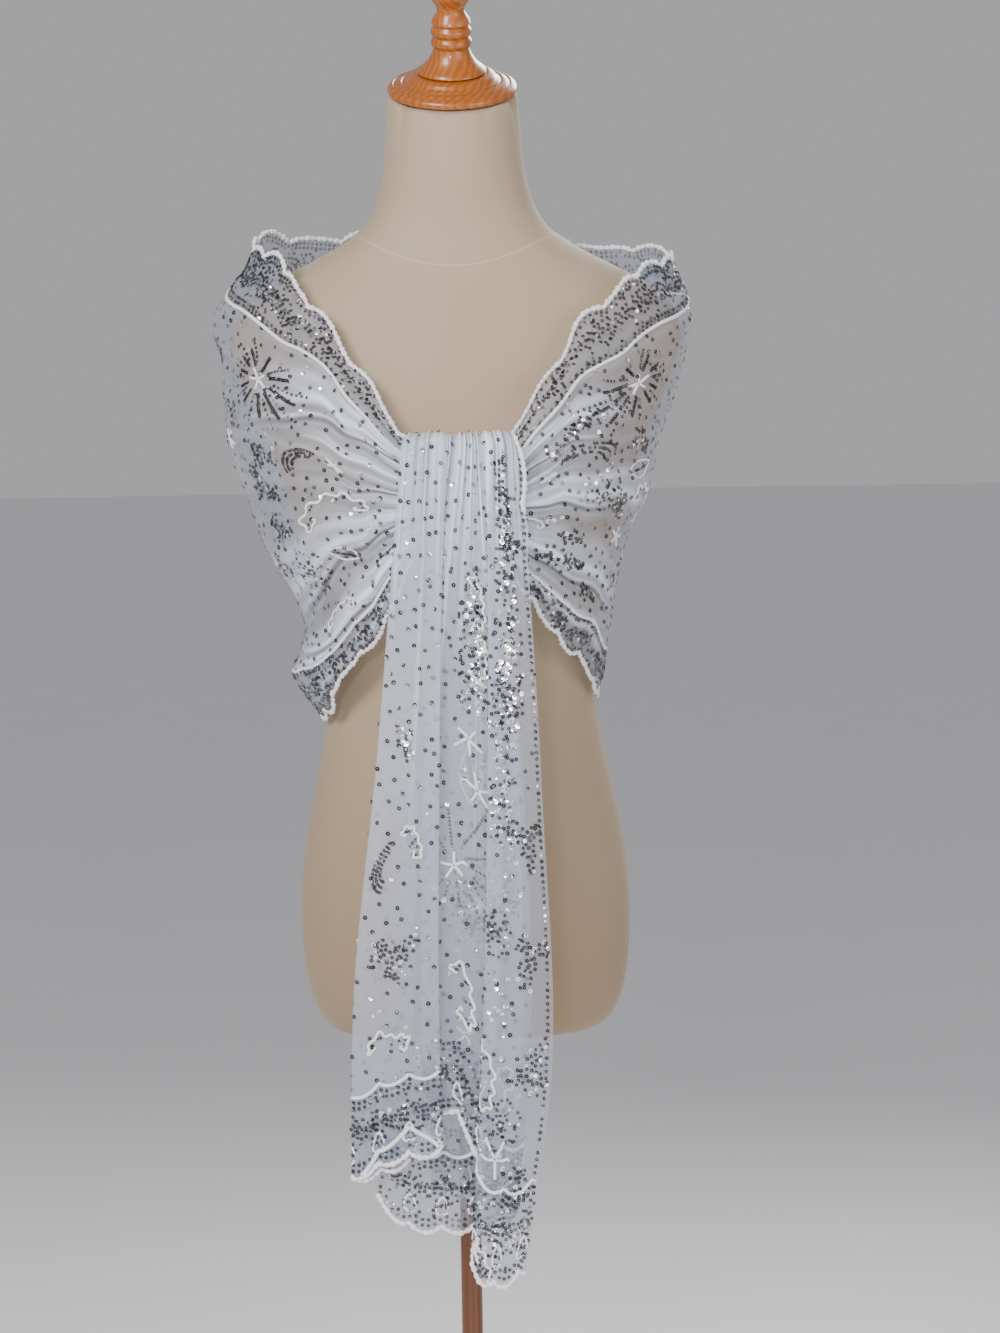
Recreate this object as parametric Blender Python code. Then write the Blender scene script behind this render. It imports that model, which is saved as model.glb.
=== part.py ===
"""Lace shawl wrapped round a limbless dress form and tied in front, on a turned wooden stand.

Metres, +Z up. The form faces -Y, the viewer's right is +X, and the origin is the centre of the
stand's underside. The shawl is one cloth about 2.2 m long and half a metre wide. It goes round the
back and over both shoulders, its two wings meet in a knot on the chest, and its two ends hang from
there. Each stretch that shows is a wall of its own.
"""

import math

import bmesh
import bpy
import numpy as np

# Driving sizes of the cloth
WALL = 0.0012
SEAM_GAP = 0.0003
LOBE_DEPTH = 0.0065
COLUMNS_PER_LOBE = 4
CORD_WIDTH = 0.0030
CORD_HEIGHT = 0.0012

# Driving sizes of the dress form and its stand
FORM_BOTTOM = 0.790
NECK_TOP = 1.561
NECK_CENTRE_Y = -0.012
NECK_TILT = math.radians(22)
NECK_TILT_STARTS = 1.470
BUST_X = 0.072
BUST_HEIGHT = 1.235
BUST_RISE = 0.031
BUST_RADIUS = 0.052
BASE_RADIUS = 0.160
POLE_RADIUS = 0.0088

# Heights and half sizes of the dress form's level sections.
# columns: height, half width, front depth, back depth, centre y, squareness
FORM_SECTIONS = (
    (0.7900, 0.1020, 0.0700, 0.0780, 0.004, 2.3),
    (0.7935, 0.1130, 0.0790, 0.0880, 0.004, 2.3),
    (0.8050, 0.1250, 0.0870, 0.0960, 0.004, 2.3),
    (0.8350, 0.1342, 0.0940, 0.1040, 0.004, 2.3),
    (0.8700, 0.1372, 0.0960, 0.1090, 0.004, 2.3),
    (0.9100, 0.1368, 0.0970, 0.1080, 0.004, 2.3),
    (0.9500, 0.1325, 0.0950, 0.1030, 0.003, 2.3),
    (1.0000, 0.1218, 0.0900, 0.0880, 0.000, 2.2),
    (1.0450, 0.1125, 0.0850, 0.0730, 0.000, 2.2),
    (1.0800, 0.1060, 0.0830, 0.0690, 0.000, 2.2),
    (1.1150, 0.1090, 0.0860, 0.0740, 0.000, 2.2),
    (1.1550, 0.1195, 0.0960, 0.0850, 0.000, 2.2),
    (1.2000, 0.1310, 0.1070, 0.0960, 0.000, 2.2),
    (1.2400, 0.1430, 0.1120, 0.1020, 0.000, 2.2),
    (1.2750, 0.1555, 0.1080, 0.1050, 0.000, 2.2),
    (1.3050, 0.1670, 0.0990, 0.1040, 0.000, 2.1),
    (1.3350, 0.1790, 0.0890, 0.1000, 0.000, 2.1),
    (1.3620, 0.1887, 0.0800, 0.0920, 0.000, 2.0),
    (1.3820, 0.1835, 0.0730, 0.0850, 0.002, 2.0),
    (1.3980, 0.1690, 0.0670, 0.0790, 0.003, 2.0),
    (1.4120, 0.1460, 0.0620, 0.0740, 0.004, 2.0),
    (1.4220, 0.1255, 0.0590, 0.0700, 0.004, 2.0),
    (1.4330, 0.1040, 0.0575, 0.0670, 0.004, 2.0),
    (1.4433, 0.0855, 0.0565, 0.0640, 0.003, 2.0),
    (1.4550, 0.0735, 0.0560, 0.0620, 0.002, 2.0),
    (1.4700, 0.0650, 0.0560, 0.0600, 0.000, 2.0),
    (1.4900, 0.0592, 0.0560, 0.0580, -0.004, 2.0),
    (1.5150, 0.0560, 0.0550, 0.0560, -0.008, 2.0),
    (1.5610, 0.0535, 0.0535, 0.0535, NECK_CENTRE_Y, 2.0),
)
FORM_SIDES = 36

# Half sizes of the drape: the smooth shape that the wrapped cloth is pulled over.
# columns: height, half width on the left, on the right, front depth, back depth, squareness
DRAPE_SECTIONS = (
    (1.0300, 0.1120, 0.1090, 0.1000, 0.0910, 2.2),
    (1.0520, 0.1150, 0.1095, 0.1060, 0.0935, 2.2),
    (1.0720, 0.1270, 0.1120, 0.1120, 0.0960, 2.2),
    (1.0880, 0.1350, 0.1150, 0.1180, 0.0980, 2.2),
    (1.1050, 0.1290, 0.1160, 0.1240, 0.1000, 2.2),
    (1.1300, 0.1280, 0.1215, 0.1320, 0.1040, 2.2),
    (1.1500, 0.1360, 0.1265, 0.1370, 0.1065, 2.2),
    (1.1800, 0.1520, 0.1320, 0.1420, 0.1095, 2.2),
    (1.2070, 0.1620, 0.1380, 0.1450, 0.1120, 2.2),
    (1.2350, 0.1720, 0.1530, 0.1465, 0.1140, 2.2),
    (1.2580, 0.1830, 0.1605, 0.1455, 0.1150, 2.2),
    (1.2780, 0.1880, 0.1640, 0.1430, 0.1150, 2.2),
    (1.3020, 0.1885, 0.1725, 0.1340, 0.1140, 2.2),
    (1.3280, 0.1905, 0.1830, 0.1190, 0.1100, 2.1),
    (1.3500, 0.1935, 0.1885, 0.1070, 0.1060, 2.1),
    (1.3700, 0.1990, 0.1915, 0.0980, 0.1010, 2.0),
    (1.3860, 0.1965, 0.1900, 0.0920, 0.0970, 2.0),
    (1.4060, 0.1820, 0.1845, 0.0860, 0.0930, 2.0),
    (1.4220, 0.1710, 0.1790, 0.0810, 0.0890, 2.0),
    (1.4400, 0.1650, 0.1760, 0.0750, 0.0850, 2.0),
    (1.4650, 0.1620, 0.1740, 0.0700, 0.0810, 2.0),
)

# The wrap's two long edges, by the turn round the body: 0 at the knot, 90 at the side, 180 at the
# middle of the back. The viewer's left wing hangs lower than the right one.
# columns: turn in degrees, left top, left bottom, right top, right bottom
WRAP_EDGES = (
    (0, 1.276, 1.212, 1.274, 1.216),
    (10, 1.281, 1.188, 1.278, 1.196),
    (15, 1.300, 1.172, 1.291, 1.180),
    (20, 1.325, 1.154, 1.317, 1.165),
    (26, 1.349, 1.132, 1.345, 1.149),
    (31, 1.374, 1.120, 1.370, 1.138),
    (37, 1.390, 1.107, 1.383, 1.125),
    (43, 1.399, 1.094, 1.392, 1.115),
    (49, 1.413, 1.079, 1.405, 1.108),
    (57, 1.426, 1.066, 1.414, 1.100),
    (68, 1.432, 1.058, 1.419, 1.081),
    (80, 1.436, 1.054, 1.422, 1.072),
    (92, 1.443, 1.052, 1.426, 1.068),
    (110, 1.449, 1.050, 1.432, 1.062),
    (125, 1.446, 1.046, 1.435, 1.054),
    (137, 1.444, 1.042, 1.433, 1.046),
    (150, 1.450, 1.038, 1.445, 1.040),
    (180, 1.456, 1.034, 1.456, 1.034),
)

# Threads that run the length of the wrap, from its top edge to its bottom edge. A share is how far
# down the cloth's height the thread lies, in hundredths, and a lift is how far it stands out as a
# fold, in mm. Each is given left of the knot, left side, back, right side and right of the knot.
# The third thread is the border's seam.
# columns: five shares, five lifts
THREADS = (
    (0.0, 0.0, 0.0, 0.0, 0.0, 0.0, 0.0, 0.0, 0.0, 0.0),
    (8.5, 4.5, 6.0, 4.5, 11.0, -1.5, 0.0, 0.5, 0.0, -1.5),
    (17.0, 9.0, 12.0, 9.0, 24.0, 2.5, 1.2, 1.5, 1.2, 2.5),
    (29.0, 21.5, 24.0, 22.0, 35.0, -2.5, -0.6, -2.0, -0.6, -2.5),
    (41.0, 33.5, 36.0, 34.5, 46.0, 3.0, 1.5, 3.5, 1.5, 3.0),
    (53.0, 46.0, 49.0, 46.5, 56.0, -2.5, -0.5, -2.0, 0.0, -1.5),
    (65.0, 60.0, 62.0, 60.0, 67.0, 3.3, 3.0, 4.0, 3.0, 3.0),
    (77.0, 73.5, 75.0, 73.5, 78.0, -3.0, -1.5, -2.0, -1.0, -3.0),
    (89.0, 87.5, 88.0, 87.5, 89.0, 3.3, 3.2, 3.0, 2.5, 3.3),
    (100.0, 100.0, 100.0, 100.0, 100.0, 0.0, 0.5, 0.0, 0.5, 0.0),
)
SEAM_THREAD = 2
FOLD_SWELL = 0.5
HALF_TURN = 180
WING_FROM_TURN = 0.15
WING_TO_TURN = 98.0
WING_COLUMNS = 28
BACK_COLUMNS = 32
WRAP_ROWS = 18

# The knot's hidden core, and the route of the front end over it
CORE_CENTRE = (0.004, -0.1588, 1.2478)
CORE_HALF_SIZE = (0.0370, 0.0085, 0.0325)
CORE_SIDES = 28
CORE_RINGS = 8
CORE_PLEATS = 7
CORE_PLEAT_DEPTH = 0.0012

# Folds of the two hanging ends, in the order in which the cloth passes them. Each fold's place
# across is given at four levels, from the knot to the hem, and its depth is how far it stands
# forward of the end's rear plane, under the knot and from there down.
# columns: four places across, depth under the knot, depth below, height of the hem
FRONT_END_FOLDS = (
    (-0.026, -0.034, -0.040, -0.046, 0.0010, 0.0030, 0.712),
    (-0.043, -0.066, -0.088, -0.092, 0.0016, 0.0050, 0.698),
    (-0.027, -0.040, -0.052, -0.056, 0.0040, 0.0095, 0.716),
    (-0.010, -0.016, -0.020, -0.020, 0.0030, 0.0115, 0.724),
    (-0.002, -0.028, -0.034, -0.036, 0.0018, 0.0055, 0.745),
    (0.012, 0.004, -0.004, -0.008, 0.0028, 0.0022, 0.750),
    (0.019, 0.032, 0.026, 0.012, 0.0016, 0.0024, 0.690),
    (0.026, 0.020, 0.012, 0.002, 0.0034, 0.0066, 0.630),
    (0.038, 0.044, 0.040, 0.021, 0.0042, 0.0092, 0.614),
    (0.050, 0.063, 0.067, 0.044, 0.0012, 0.0040, 0.624),
)
REAR_END_FOLDS = (
    (-0.030, -0.048, -0.062, -0.072, 0.0030, 0.0062, 0.682),
    (-0.018, -0.028, -0.040, -0.049, 0.0045, 0.0080, 0.660),
    (0.004, 0.000, -0.010, -0.016, 0.0030, 0.0050, 0.655),
    (0.022, 0.028, 0.022, 0.018, 0.0040, 0.0062, 0.657),
    (0.030, 0.050, 0.052, 0.038, 0.0020, 0.0030, 0.666),
    (0.012, 0.020, 0.016, 0.010, 0.0010, 0.0004, 0.678),
    (-0.012, -0.022, -0.028, -0.030, 0.0014, 0.0010, 0.684),
)
LEVELS = (0.0, 0.42, 0.76, 1.0)
DEPTH_LEVELS = (0.0, 0.42)
FRONT_END_PLANE_Y = -0.1685
FRONT_END_TOP = 1.2812
FRONT_END_COLUMNS = 40
FRONT_END_ROWS = 12
REAR_END_PLANE_Y = -0.1545
REAR_END_TOP = 1.2154
REAR_END_COLUMNS = 24
REAR_END_ROWS = 10
TURN_RADIUS = 0.0072
OVER_TURN = math.radians(150)
OVER_TURN_ROWS = 5
OVER_TURN_NARROWING = 0.14

# Turned profiles, as (radius, height) pairs in mm from the piece's own foot
CAP_PROFILE = (
    (0, 0), (51, 0), (53, 2.5), (52.5, 6), (49, 9), (44, 10.5), (37, 11.5), (36, 14.5), (33, 16.5), (0, 17),
)
FINIAL_PROFILE = (
    (0, 0), (28, 0), (27, 2.5), (21, 8), (16, 16), (14.5, 21), (16.5, 23.5), (16.5, 27), (14.5, 29.5),
    (16.5, 32), (16.5, 36), (14.5, 39), (16, 41), (11, 51), (12, 55), (18, 66), (15, 74), (0, 79.5),
)
COLLAR_PROFILE = ((0, 0), (17, 0), (20, 3), (30, 11), (30, 15), (0, 15))
BASE_PROFILE = (
    (0, 0), (157, 0), (160, 3), (160, 14), (155, 19), (60, 26), (34, 31), (22, 41), (18, 50), (0, 50),
)
TURNED_SIDES = 24

# Colours, as (red, green, blue), roughness and metallic
FINISHES = {
    "form_cover": ((0.60, 0.53, 0.43), 0.75, 0.0),
    "turned_wood": ((0.52, 0.24, 0.07), 0.30, 0.0),
    "net": ((0.72, 0.75, 0.84), 0.60, 0.0),
    "white_cord": ((0.90, 0.90, 0.92), 0.70, 0.0),
}


def smooth(at, known, values):
    """Reads a smooth curve through a table's values at one place or at many."""
    known = np.asarray(known, float)
    values = np.asarray(values, float)
    at = np.clip(at, known[0], known[-1])
    slopes = np.gradient(values, known)
    i = np.clip(np.searchsorted(known, at) - 1, 0, len(known) - 2)
    span = known[i + 1] - known[i]
    p = (at - known[i]) / span
    return (
        (2 * p**3 - 3 * p**2 + 1) * values[i]
        + (p**3 - 2 * p**2 + p) * span * slopes[i]
        + (3 * p**2 - 2 * p**3) * values[i + 1]
        + (p**3 - p**2) * span * slopes[i + 1]
    )


def section_point(turn, half_width, front, back, squareness):
    """A point of a level section, by the turn in radians from its front."""
    across, along = math.sin(turn), math.cos(turn)
    depth = front if along > 0 else back
    power = 2 / squareness
    x = math.copysign(half_width * abs(across) ** power, across)
    y = -math.copysign(depth * abs(along) ** power, along)
    return x, y


def material(finish):
    """The plain material of one finish, made once."""
    made = bpy.data.materials.get(finish)
    if made:
        return made
    colour, roughness, metallic = FINISHES[finish]
    made = bpy.data.materials.new(finish)
    made.use_nodes = True
    shader = made.node_tree.nodes["Principled BSDF"]
    shader.inputs["Base Color"].default_value = (*colour, 1.0)
    shader.inputs["Roughness"].default_value = roughness
    shader.inputs["Metallic"].default_value = metallic
    return made


def new_object(name, mesh_builder, finish):
    """Makes a named object from a bmesh, with its faces pointing out."""
    bmesh.ops.recalc_face_normals(mesh_builder, faces=mesh_builder.faces)
    mesh = bpy.data.meshes.new(name)
    mesh_builder.to_mesh(mesh)
    mesh_builder.free()
    mesh.shade_smooth()
    mesh.set_sharp_from_angle(angle=math.radians(50))
    mesh.materials.append(material(finish))
    made = bpy.data.objects.new(name, mesh)
    bpy.context.scene.collection.objects.link(made)
    return made


def wall_of(name, outer, inner, finish):
    """A closed wall between two grids of points, rows of equal length."""
    builder = bmesh.new()
    faces = [[[builder.verts.new(p) for p in row] for row in grid] for grid in (outer, inner)]
    rows, columns = len(outer), len(outer[0])
    for face in faces:
        for r in range(rows - 1):
            for c in range(columns - 1):
                builder.faces.new((face[r][c], face[r][c + 1], face[r + 1][c + 1], face[r + 1][c]))
    front, back = faces
    rim = [(0, c) for c in range(columns)]
    rim += [(r, columns - 1) for r in range(1, rows)]
    rim += [(rows - 1, c) for c in range(columns - 2, -1, -1)]
    rim += [(r, 0) for r in range(rows - 2, 0, -1)]
    for (r, c), (s, d) in zip(rim, rim[1:] + rim[:1]):
        builder.faces.new((front[r][c], front[s][d], back[s][d], back[r][c]))
    return new_object(name, builder, finish)


def grid_normals(grid):
    """Unit normals of a grid of points, one for each point."""
    down, along = np.gradient(grid, axis=0), np.gradient(grid, axis=1)
    normal = np.cross(down, along)
    return normal / np.linalg.norm(normal, axis=2, keepdims=True)


def cloth_wall(name, grid, finish):
    """A cloth wall of even thickness about a grid of points."""
    normal = grid_normals(grid)
    return wall_of(name, grid + normal * WALL / 2, grid - normal * WALL / 2, finish)


def cord_on(name, grid, row, finish):
    """A flat cord that lies on a wall along one of its rows, just clear of it."""
    normal = grid_normals(grid)[row]
    line = grid[row]
    along = np.gradient(line, axis=0)
    side = np.cross(along, normal)
    side /= np.linalg.norm(side, axis=1, keepdims=True)
    foot = line + normal * (WALL / 2 + SEAM_GAP)
    edges = [foot - side * CORD_WIDTH / 2, foot + side * CORD_WIDTH / 2]
    top = [edge * 0.8 + foot * 0.2 + normal * CORD_HEIGHT for edge in edges]
    return wall_of(name, np.array(top), np.array(edges), finish)


def form_point(height, turn):
    """A point of the dress form's cover."""
    heights = [row[0] for row in FORM_SECTIONS]
    sizes = [float(smooth(height, heights, [row[k] for row in FORM_SECTIONS])) for k in range(1, 6)]
    half_width, front, back, centre_y, squareness = sizes
    x, y = section_point(turn, half_width, front, back, squareness)
    if y < 0:
        away = ((abs(x) - BUST_X) ** 2 + (height - BUST_HEIGHT) ** 2) / BUST_RADIUS**2
        y -= BUST_RISE * math.exp(-away)
    y += centre_y
    lean = min(1.0, max(0.0, (height - NECK_TILT_STARTS) / (NECK_TOP - NECK_TILT_STARTS)))
    return x, y, height + lean * math.tan(NECK_TILT) * (y - NECK_CENTRE_Y)


def build_form():
    """The torso and neck, one closed body with a flat, forward-leaning top."""
    builder = bmesh.new()
    rings = []
    for row in FORM_SECTIONS:
        turns = [2 * math.pi * k / FORM_SIDES for k in range(FORM_SIDES)]
        rings.append([builder.verts.new(form_point(row[0], turn)) for turn in turns])
    for low, high in zip(rings, rings[1:]):
        for k in range(FORM_SIDES):
            n = (k + 1) % FORM_SIDES
            builder.faces.new((low[k], low[n], high[n], high[k]))
    builder.faces.new(rings[0])
    builder.faces.new(rings[-1])
    return new_object("dress_form", builder, "form_cover")


def turned(name, profile, finish, foot, tilt=0.0):
    """A turned piece: its profile spun round its own axis, then stood on its foot and tilted."""
    builder = bmesh.new()
    line = [builder.verts.new((radius / 1000, 0, height / 1000)) for radius, height in profile]
    edges = [builder.edges.new(pair) for pair in zip(line, line[1:])]
    bmesh.ops.spin(
        builder,
        geom=line + edges,
        cent=(0, 0, 0),
        axis=(0, 0, 1),
        angle=2 * math.pi,
        steps=TURNED_SIDES,
        use_merge=True,
    )
    bmesh.ops.remove_doubles(builder, verts=builder.verts, dist=1e-5)
    made = new_object(name, builder, finish)
    made.location = foot
    made.rotation_euler = (tilt, 0, 0)
    return made


def build_stand():
    """The turned base, the pole, the collar under the form, and the neck's cap and finial."""
    turned("stand_base", BASE_PROFILE, "turned_wood", (0, 0, 0))
    base_top = BASE_PROFILE[-1][1] / 1000
    collar_height = COLLAR_PROFILE[-1][1] / 1000
    collar_foot = FORM_BOTTOM - SEAM_GAP - collar_height
    pole_foot = base_top + SEAM_GAP
    radius, length = POLE_RADIUS * 1000, (collar_foot - SEAM_GAP - pole_foot) * 1000
    pole_profile = ((0, 0), (radius, 0), (radius, length), (0, length))
    turned("stand_pole", pole_profile, "turned_wood", (0, 0, pole_foot))
    turned("stand_collar", COLLAR_PROFILE, "turned_wood", (0, 0, collar_foot))
    up = np.array((0.0, -math.sin(NECK_TILT), math.cos(NECK_TILT)))
    cap_foot = np.array((0, NECK_CENTRE_Y, NECK_TOP)) + up * SEAM_GAP
    turned("neck_cap", CAP_PROFILE, "turned_wood", cap_foot, NECK_TILT)
    finial_foot = cap_foot + up * (CAP_PROFILE[-1][1] / 1000 + SEAM_GAP)
    turned("neck_finial", FINIAL_PROFILE, "turned_wood", finial_foot, NECK_TILT)


def scallop(column):
    """How far the scalloped edge stands out at a column, from 0 in a notch to 1 on a lobe."""
    return abs(math.sin(math.pi * column / COLUMNS_PER_LOBE)) ** 0.7


def by_station(turn, values):
    """Blends a thread's five values by the turn: left of the knot, side, back, side, right."""
    left, left_side, back, right_side, right = values
    if turn < 0:
        return float(np.interp(turn, (-180, -90, 0), (back, left_side, left)))
    return float(np.interp(turn, (0, 90, 180), (right, right_side, back)))


def wrap_point(turn, thread, column):
    """A point of the wrapped cloth. turn is in degrees, below 0 on the viewer's left."""
    turns = [row[0] for row in WRAP_EDGES]
    side = 1 if turn < 0 else 3
    top = float(smooth(abs(turn), turns, [row[side] for row in WRAP_EDGES]))
    bottom = float(smooth(abs(turn), turns, [row[side + 1] for row in WRAP_EDGES]))
    last = len(THREADS) - 1
    values = [float(smooth(thread, range(last + 1), [row[k] for row in THREADS])) for k in range(10)]
    share = by_station(turn, values[:5]) / 100
    swell = 1 + FOLD_SWELL * math.sin(math.radians(2 * min(abs(turn), 90))) ** 2
    lift = swell * by_station(turn, values[5:]) / 1000
    height = top + (bottom - top) * share
    if thread == 0:
        height += LOBE_DEPTH * (scallop(column) - 0.5)
    if thread == last:
        height -= LOBE_DEPTH * (scallop(column) - 0.5)
    heights = [row[0] for row in DRAPE_SECTIONS]
    widths = 1 if turn < 0 else 2
    sizes = [float(smooth(height, heights, [row[k] for row in DRAPE_SECTIONS])) for k in (widths, 3, 4, 5)]
    x, y = section_point(math.radians(turn), *sizes)
    reach = math.hypot(x, y)
    return x * (1 + lift / reach), y * (1 + lift / reach), height


def wrap_grid(from_turn, to_turn, columns, rows, first_column):
    """The grid of one stretch of the wrap, its columns evenly spaced along the cloth."""
    middle = (len(THREADS) - 1) / 2
    fine = np.linspace(from_turn, to_turn, 200)
    line = np.array([wrap_point(turn, middle, 0) for turn in fine])
    run = np.concatenate([[0], np.cumsum(np.linalg.norm(np.diff(line, axis=0), axis=1))])
    turns = np.interp(np.linspace(0, run[-1], columns + 1), run, fine)
    threads = np.linspace(0, len(THREADS) - 1, rows + 1)
    return np.array(
        [[wrap_point(turn, thread, first_column + c) for c, turn in enumerate(turns)] for thread in threads]
    )


def build_wrap():
    """The two wings and the back, with the seam cord of their upper border."""
    left = wrap_grid(-WING_TO_TURN, -WING_FROM_TURN, WING_COLUMNS, WRAP_ROWS, 0)
    right = wrap_grid(WING_FROM_TURN, WING_TO_TURN, WING_COLUMNS, WRAP_ROWS, 0)
    seam = math.degrees(SEAM_GAP / 0.09)
    back_left = wrap_grid(-HALF_TURN, -WING_TO_TURN - seam, BACK_COLUMNS // 2, WRAP_ROWS, 0)
    back_right = wrap_grid(WING_TO_TURN + seam, HALF_TURN, BACK_COLUMNS // 2, WRAP_ROWS, 0)
    back = np.concatenate([back_right, back_left[:, 1:]], axis=1)
    cloth_wall("wing_left", left, "net")
    cloth_wall("wing_right", right, "net")
    cloth_wall("back_wrap", back, "net")
    seam_row = SEAM_THREAD * WRAP_ROWS // (len(THREADS) - 1)
    cord_on("seam_cord_left", left, seam_row, "white_cord")
    cord_on("seam_cord_right", right, seam_row, "white_cord")


def end_grid(folds, columns, rows, plane_y, top, turn_rows, turn_angle):
    """The grid of a hanging end: its folded section, carried over the knot and down to its hem."""
    numbers = np.arange(len(folds))
    table = np.array(folds)
    fine = np.linspace(0, numbers[-1], 400)
    low_x, low_depth = smooth(fine, numbers, table[:, 2]), smooth(fine, numbers, table[:, 5])
    run = np.concatenate([[0], np.cumsum(np.hypot(np.diff(low_x), np.diff(low_depth)))])
    places = np.interp(np.linspace(0, run[-1], columns + 1), run, fine)
    across = [smooth(places, numbers, table[:, k]) for k in range(4)]
    depths = [smooth(places, numbers, table[:, k]) for k in (4, 5)]
    hems = smooth(places, numbers, table[:, 6])
    straight_top = top - (TURN_RADIUS if turn_rows else 0)
    grid = []
    for r in range(-turn_rows, rows + 1):
        share = max(0, r) / rows
        line = []
        for c in range(columns + 1):
            x = float(smooth(share, LEVELS, [level[c] for level in across]))
            depth = float(np.interp(share, DEPTH_LEVELS, [level[c] for level in depths]))
            hem = hems[c] - LOBE_DEPTH * (scallop(c) - 0.5) * (r == rows)
            if r >= 0:
                line.append((x, plane_y - depth, straight_top + (hem - straight_top) * share))
                continue
            angle = turn_angle * -r / turn_rows
            reach = TURN_RADIUS + depth
            narrow = 1 - OVER_TURN_NARROWING * -r / turn_rows
            y = plane_y + TURN_RADIUS - reach * math.cos(angle)
            line.append((x * narrow, y, straight_top + reach * math.sin(angle)))
        grid.append(line)
    return np.array(grid)


def build_ends():
    """The front end, which falls over the knot, and the rear end, which hangs behind it."""
    front_size = (FRONT_END_COLUMNS, FRONT_END_ROWS, FRONT_END_PLANE_Y, FRONT_END_TOP)
    front = end_grid(FRONT_END_FOLDS, *front_size, OVER_TURN_ROWS, OVER_TURN)
    rear = end_grid(REAR_END_FOLDS, REAR_END_COLUMNS, REAR_END_ROWS, REAR_END_PLANE_Y, REAR_END_TOP, 0, 0)
    cloth_wall("front_end", front, "net")
    cloth_wall("rear_end", rear, "net")


def build_core():
    """The knot's core: the bundled cloth inside the front end's loop, pleated from side to side."""
    builder = bmesh.new()
    rings = []
    for r in range(1, CORE_RINGS):
        across = math.pi * r / CORE_RINGS
        ring = []
        for k in range(CORE_SIDES):
            turn = 2 * math.pi * k / CORE_SIDES
            swell = 1 + CORE_PLEAT_DEPTH / CORE_HALF_SIZE[2] * math.cos(CORE_PLEATS * turn)
            x = CORE_CENTRE[0] - CORE_HALF_SIZE[0] * math.cos(across)
            y = CORE_CENTRE[1] + CORE_HALF_SIZE[1] * math.sin(across) ** 0.8 * math.sin(turn)
            z = CORE_CENTRE[2] + CORE_HALF_SIZE[2] * math.sin(across) ** 0.8 * math.cos(turn) * swell
            ring.append(builder.verts.new((x, y, z)))
        rings.append(ring)
    ends = [builder.verts.new((CORE_CENTRE[0] + s * CORE_HALF_SIZE[0], *CORE_CENTRE[1:])) for s in (-1, 1)]
    for low, high in zip(rings, rings[1:]):
        for k in range(CORE_SIDES):
            n = (k + 1) % CORE_SIDES
            builder.faces.new((low[k], low[n], high[n], high[k]))
    for end, ring in zip(ends, (rings[0], rings[-1])):
        for k in range(CORE_SIDES):
            builder.faces.new((end, ring[k], ring[(k + 1) % CORE_SIDES]))
    new_object("knot_core", builder, "net")


def main():
    for old in list(bpy.data.objects):
        bpy.data.objects.remove(old)
    build_form()
    build_stand()
    build_wrap()
    build_core()
    build_ends()


main()
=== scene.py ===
"""Looks of the sheer lace shawl on its dress form, laid out as a Blender add-on and run as a script.

Metres, +Z up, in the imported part's own frame. Each stretch of the shawl is one thin net sheet. Its
cloth coordinates, metres along the shawl and metres down from its top edge, carry the ornament,
which is laid out flat and then draped: white corded lines, scallops and sequins.
"""

import math

import bpy
import numpy as np
from mathutils import Matrix, Vector


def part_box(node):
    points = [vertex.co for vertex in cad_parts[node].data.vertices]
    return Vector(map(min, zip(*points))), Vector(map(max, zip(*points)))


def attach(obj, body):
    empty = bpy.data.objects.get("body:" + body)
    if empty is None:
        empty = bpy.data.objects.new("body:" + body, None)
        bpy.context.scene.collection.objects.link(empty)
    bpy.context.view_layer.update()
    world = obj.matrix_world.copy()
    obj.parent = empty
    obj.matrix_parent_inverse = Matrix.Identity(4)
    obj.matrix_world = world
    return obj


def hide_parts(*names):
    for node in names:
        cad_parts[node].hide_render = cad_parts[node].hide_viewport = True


bl_info = {
    "name": "Lace Shawl Looks",
    "version": (1, 0, 0),
    "blender": (4, 5, 0),
    "location": "View3D > Sidebar > Shawl",
    "description": "Builds a sequinned net shawl, its dress form and its turned stand",
    "category": "Object",
}

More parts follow.
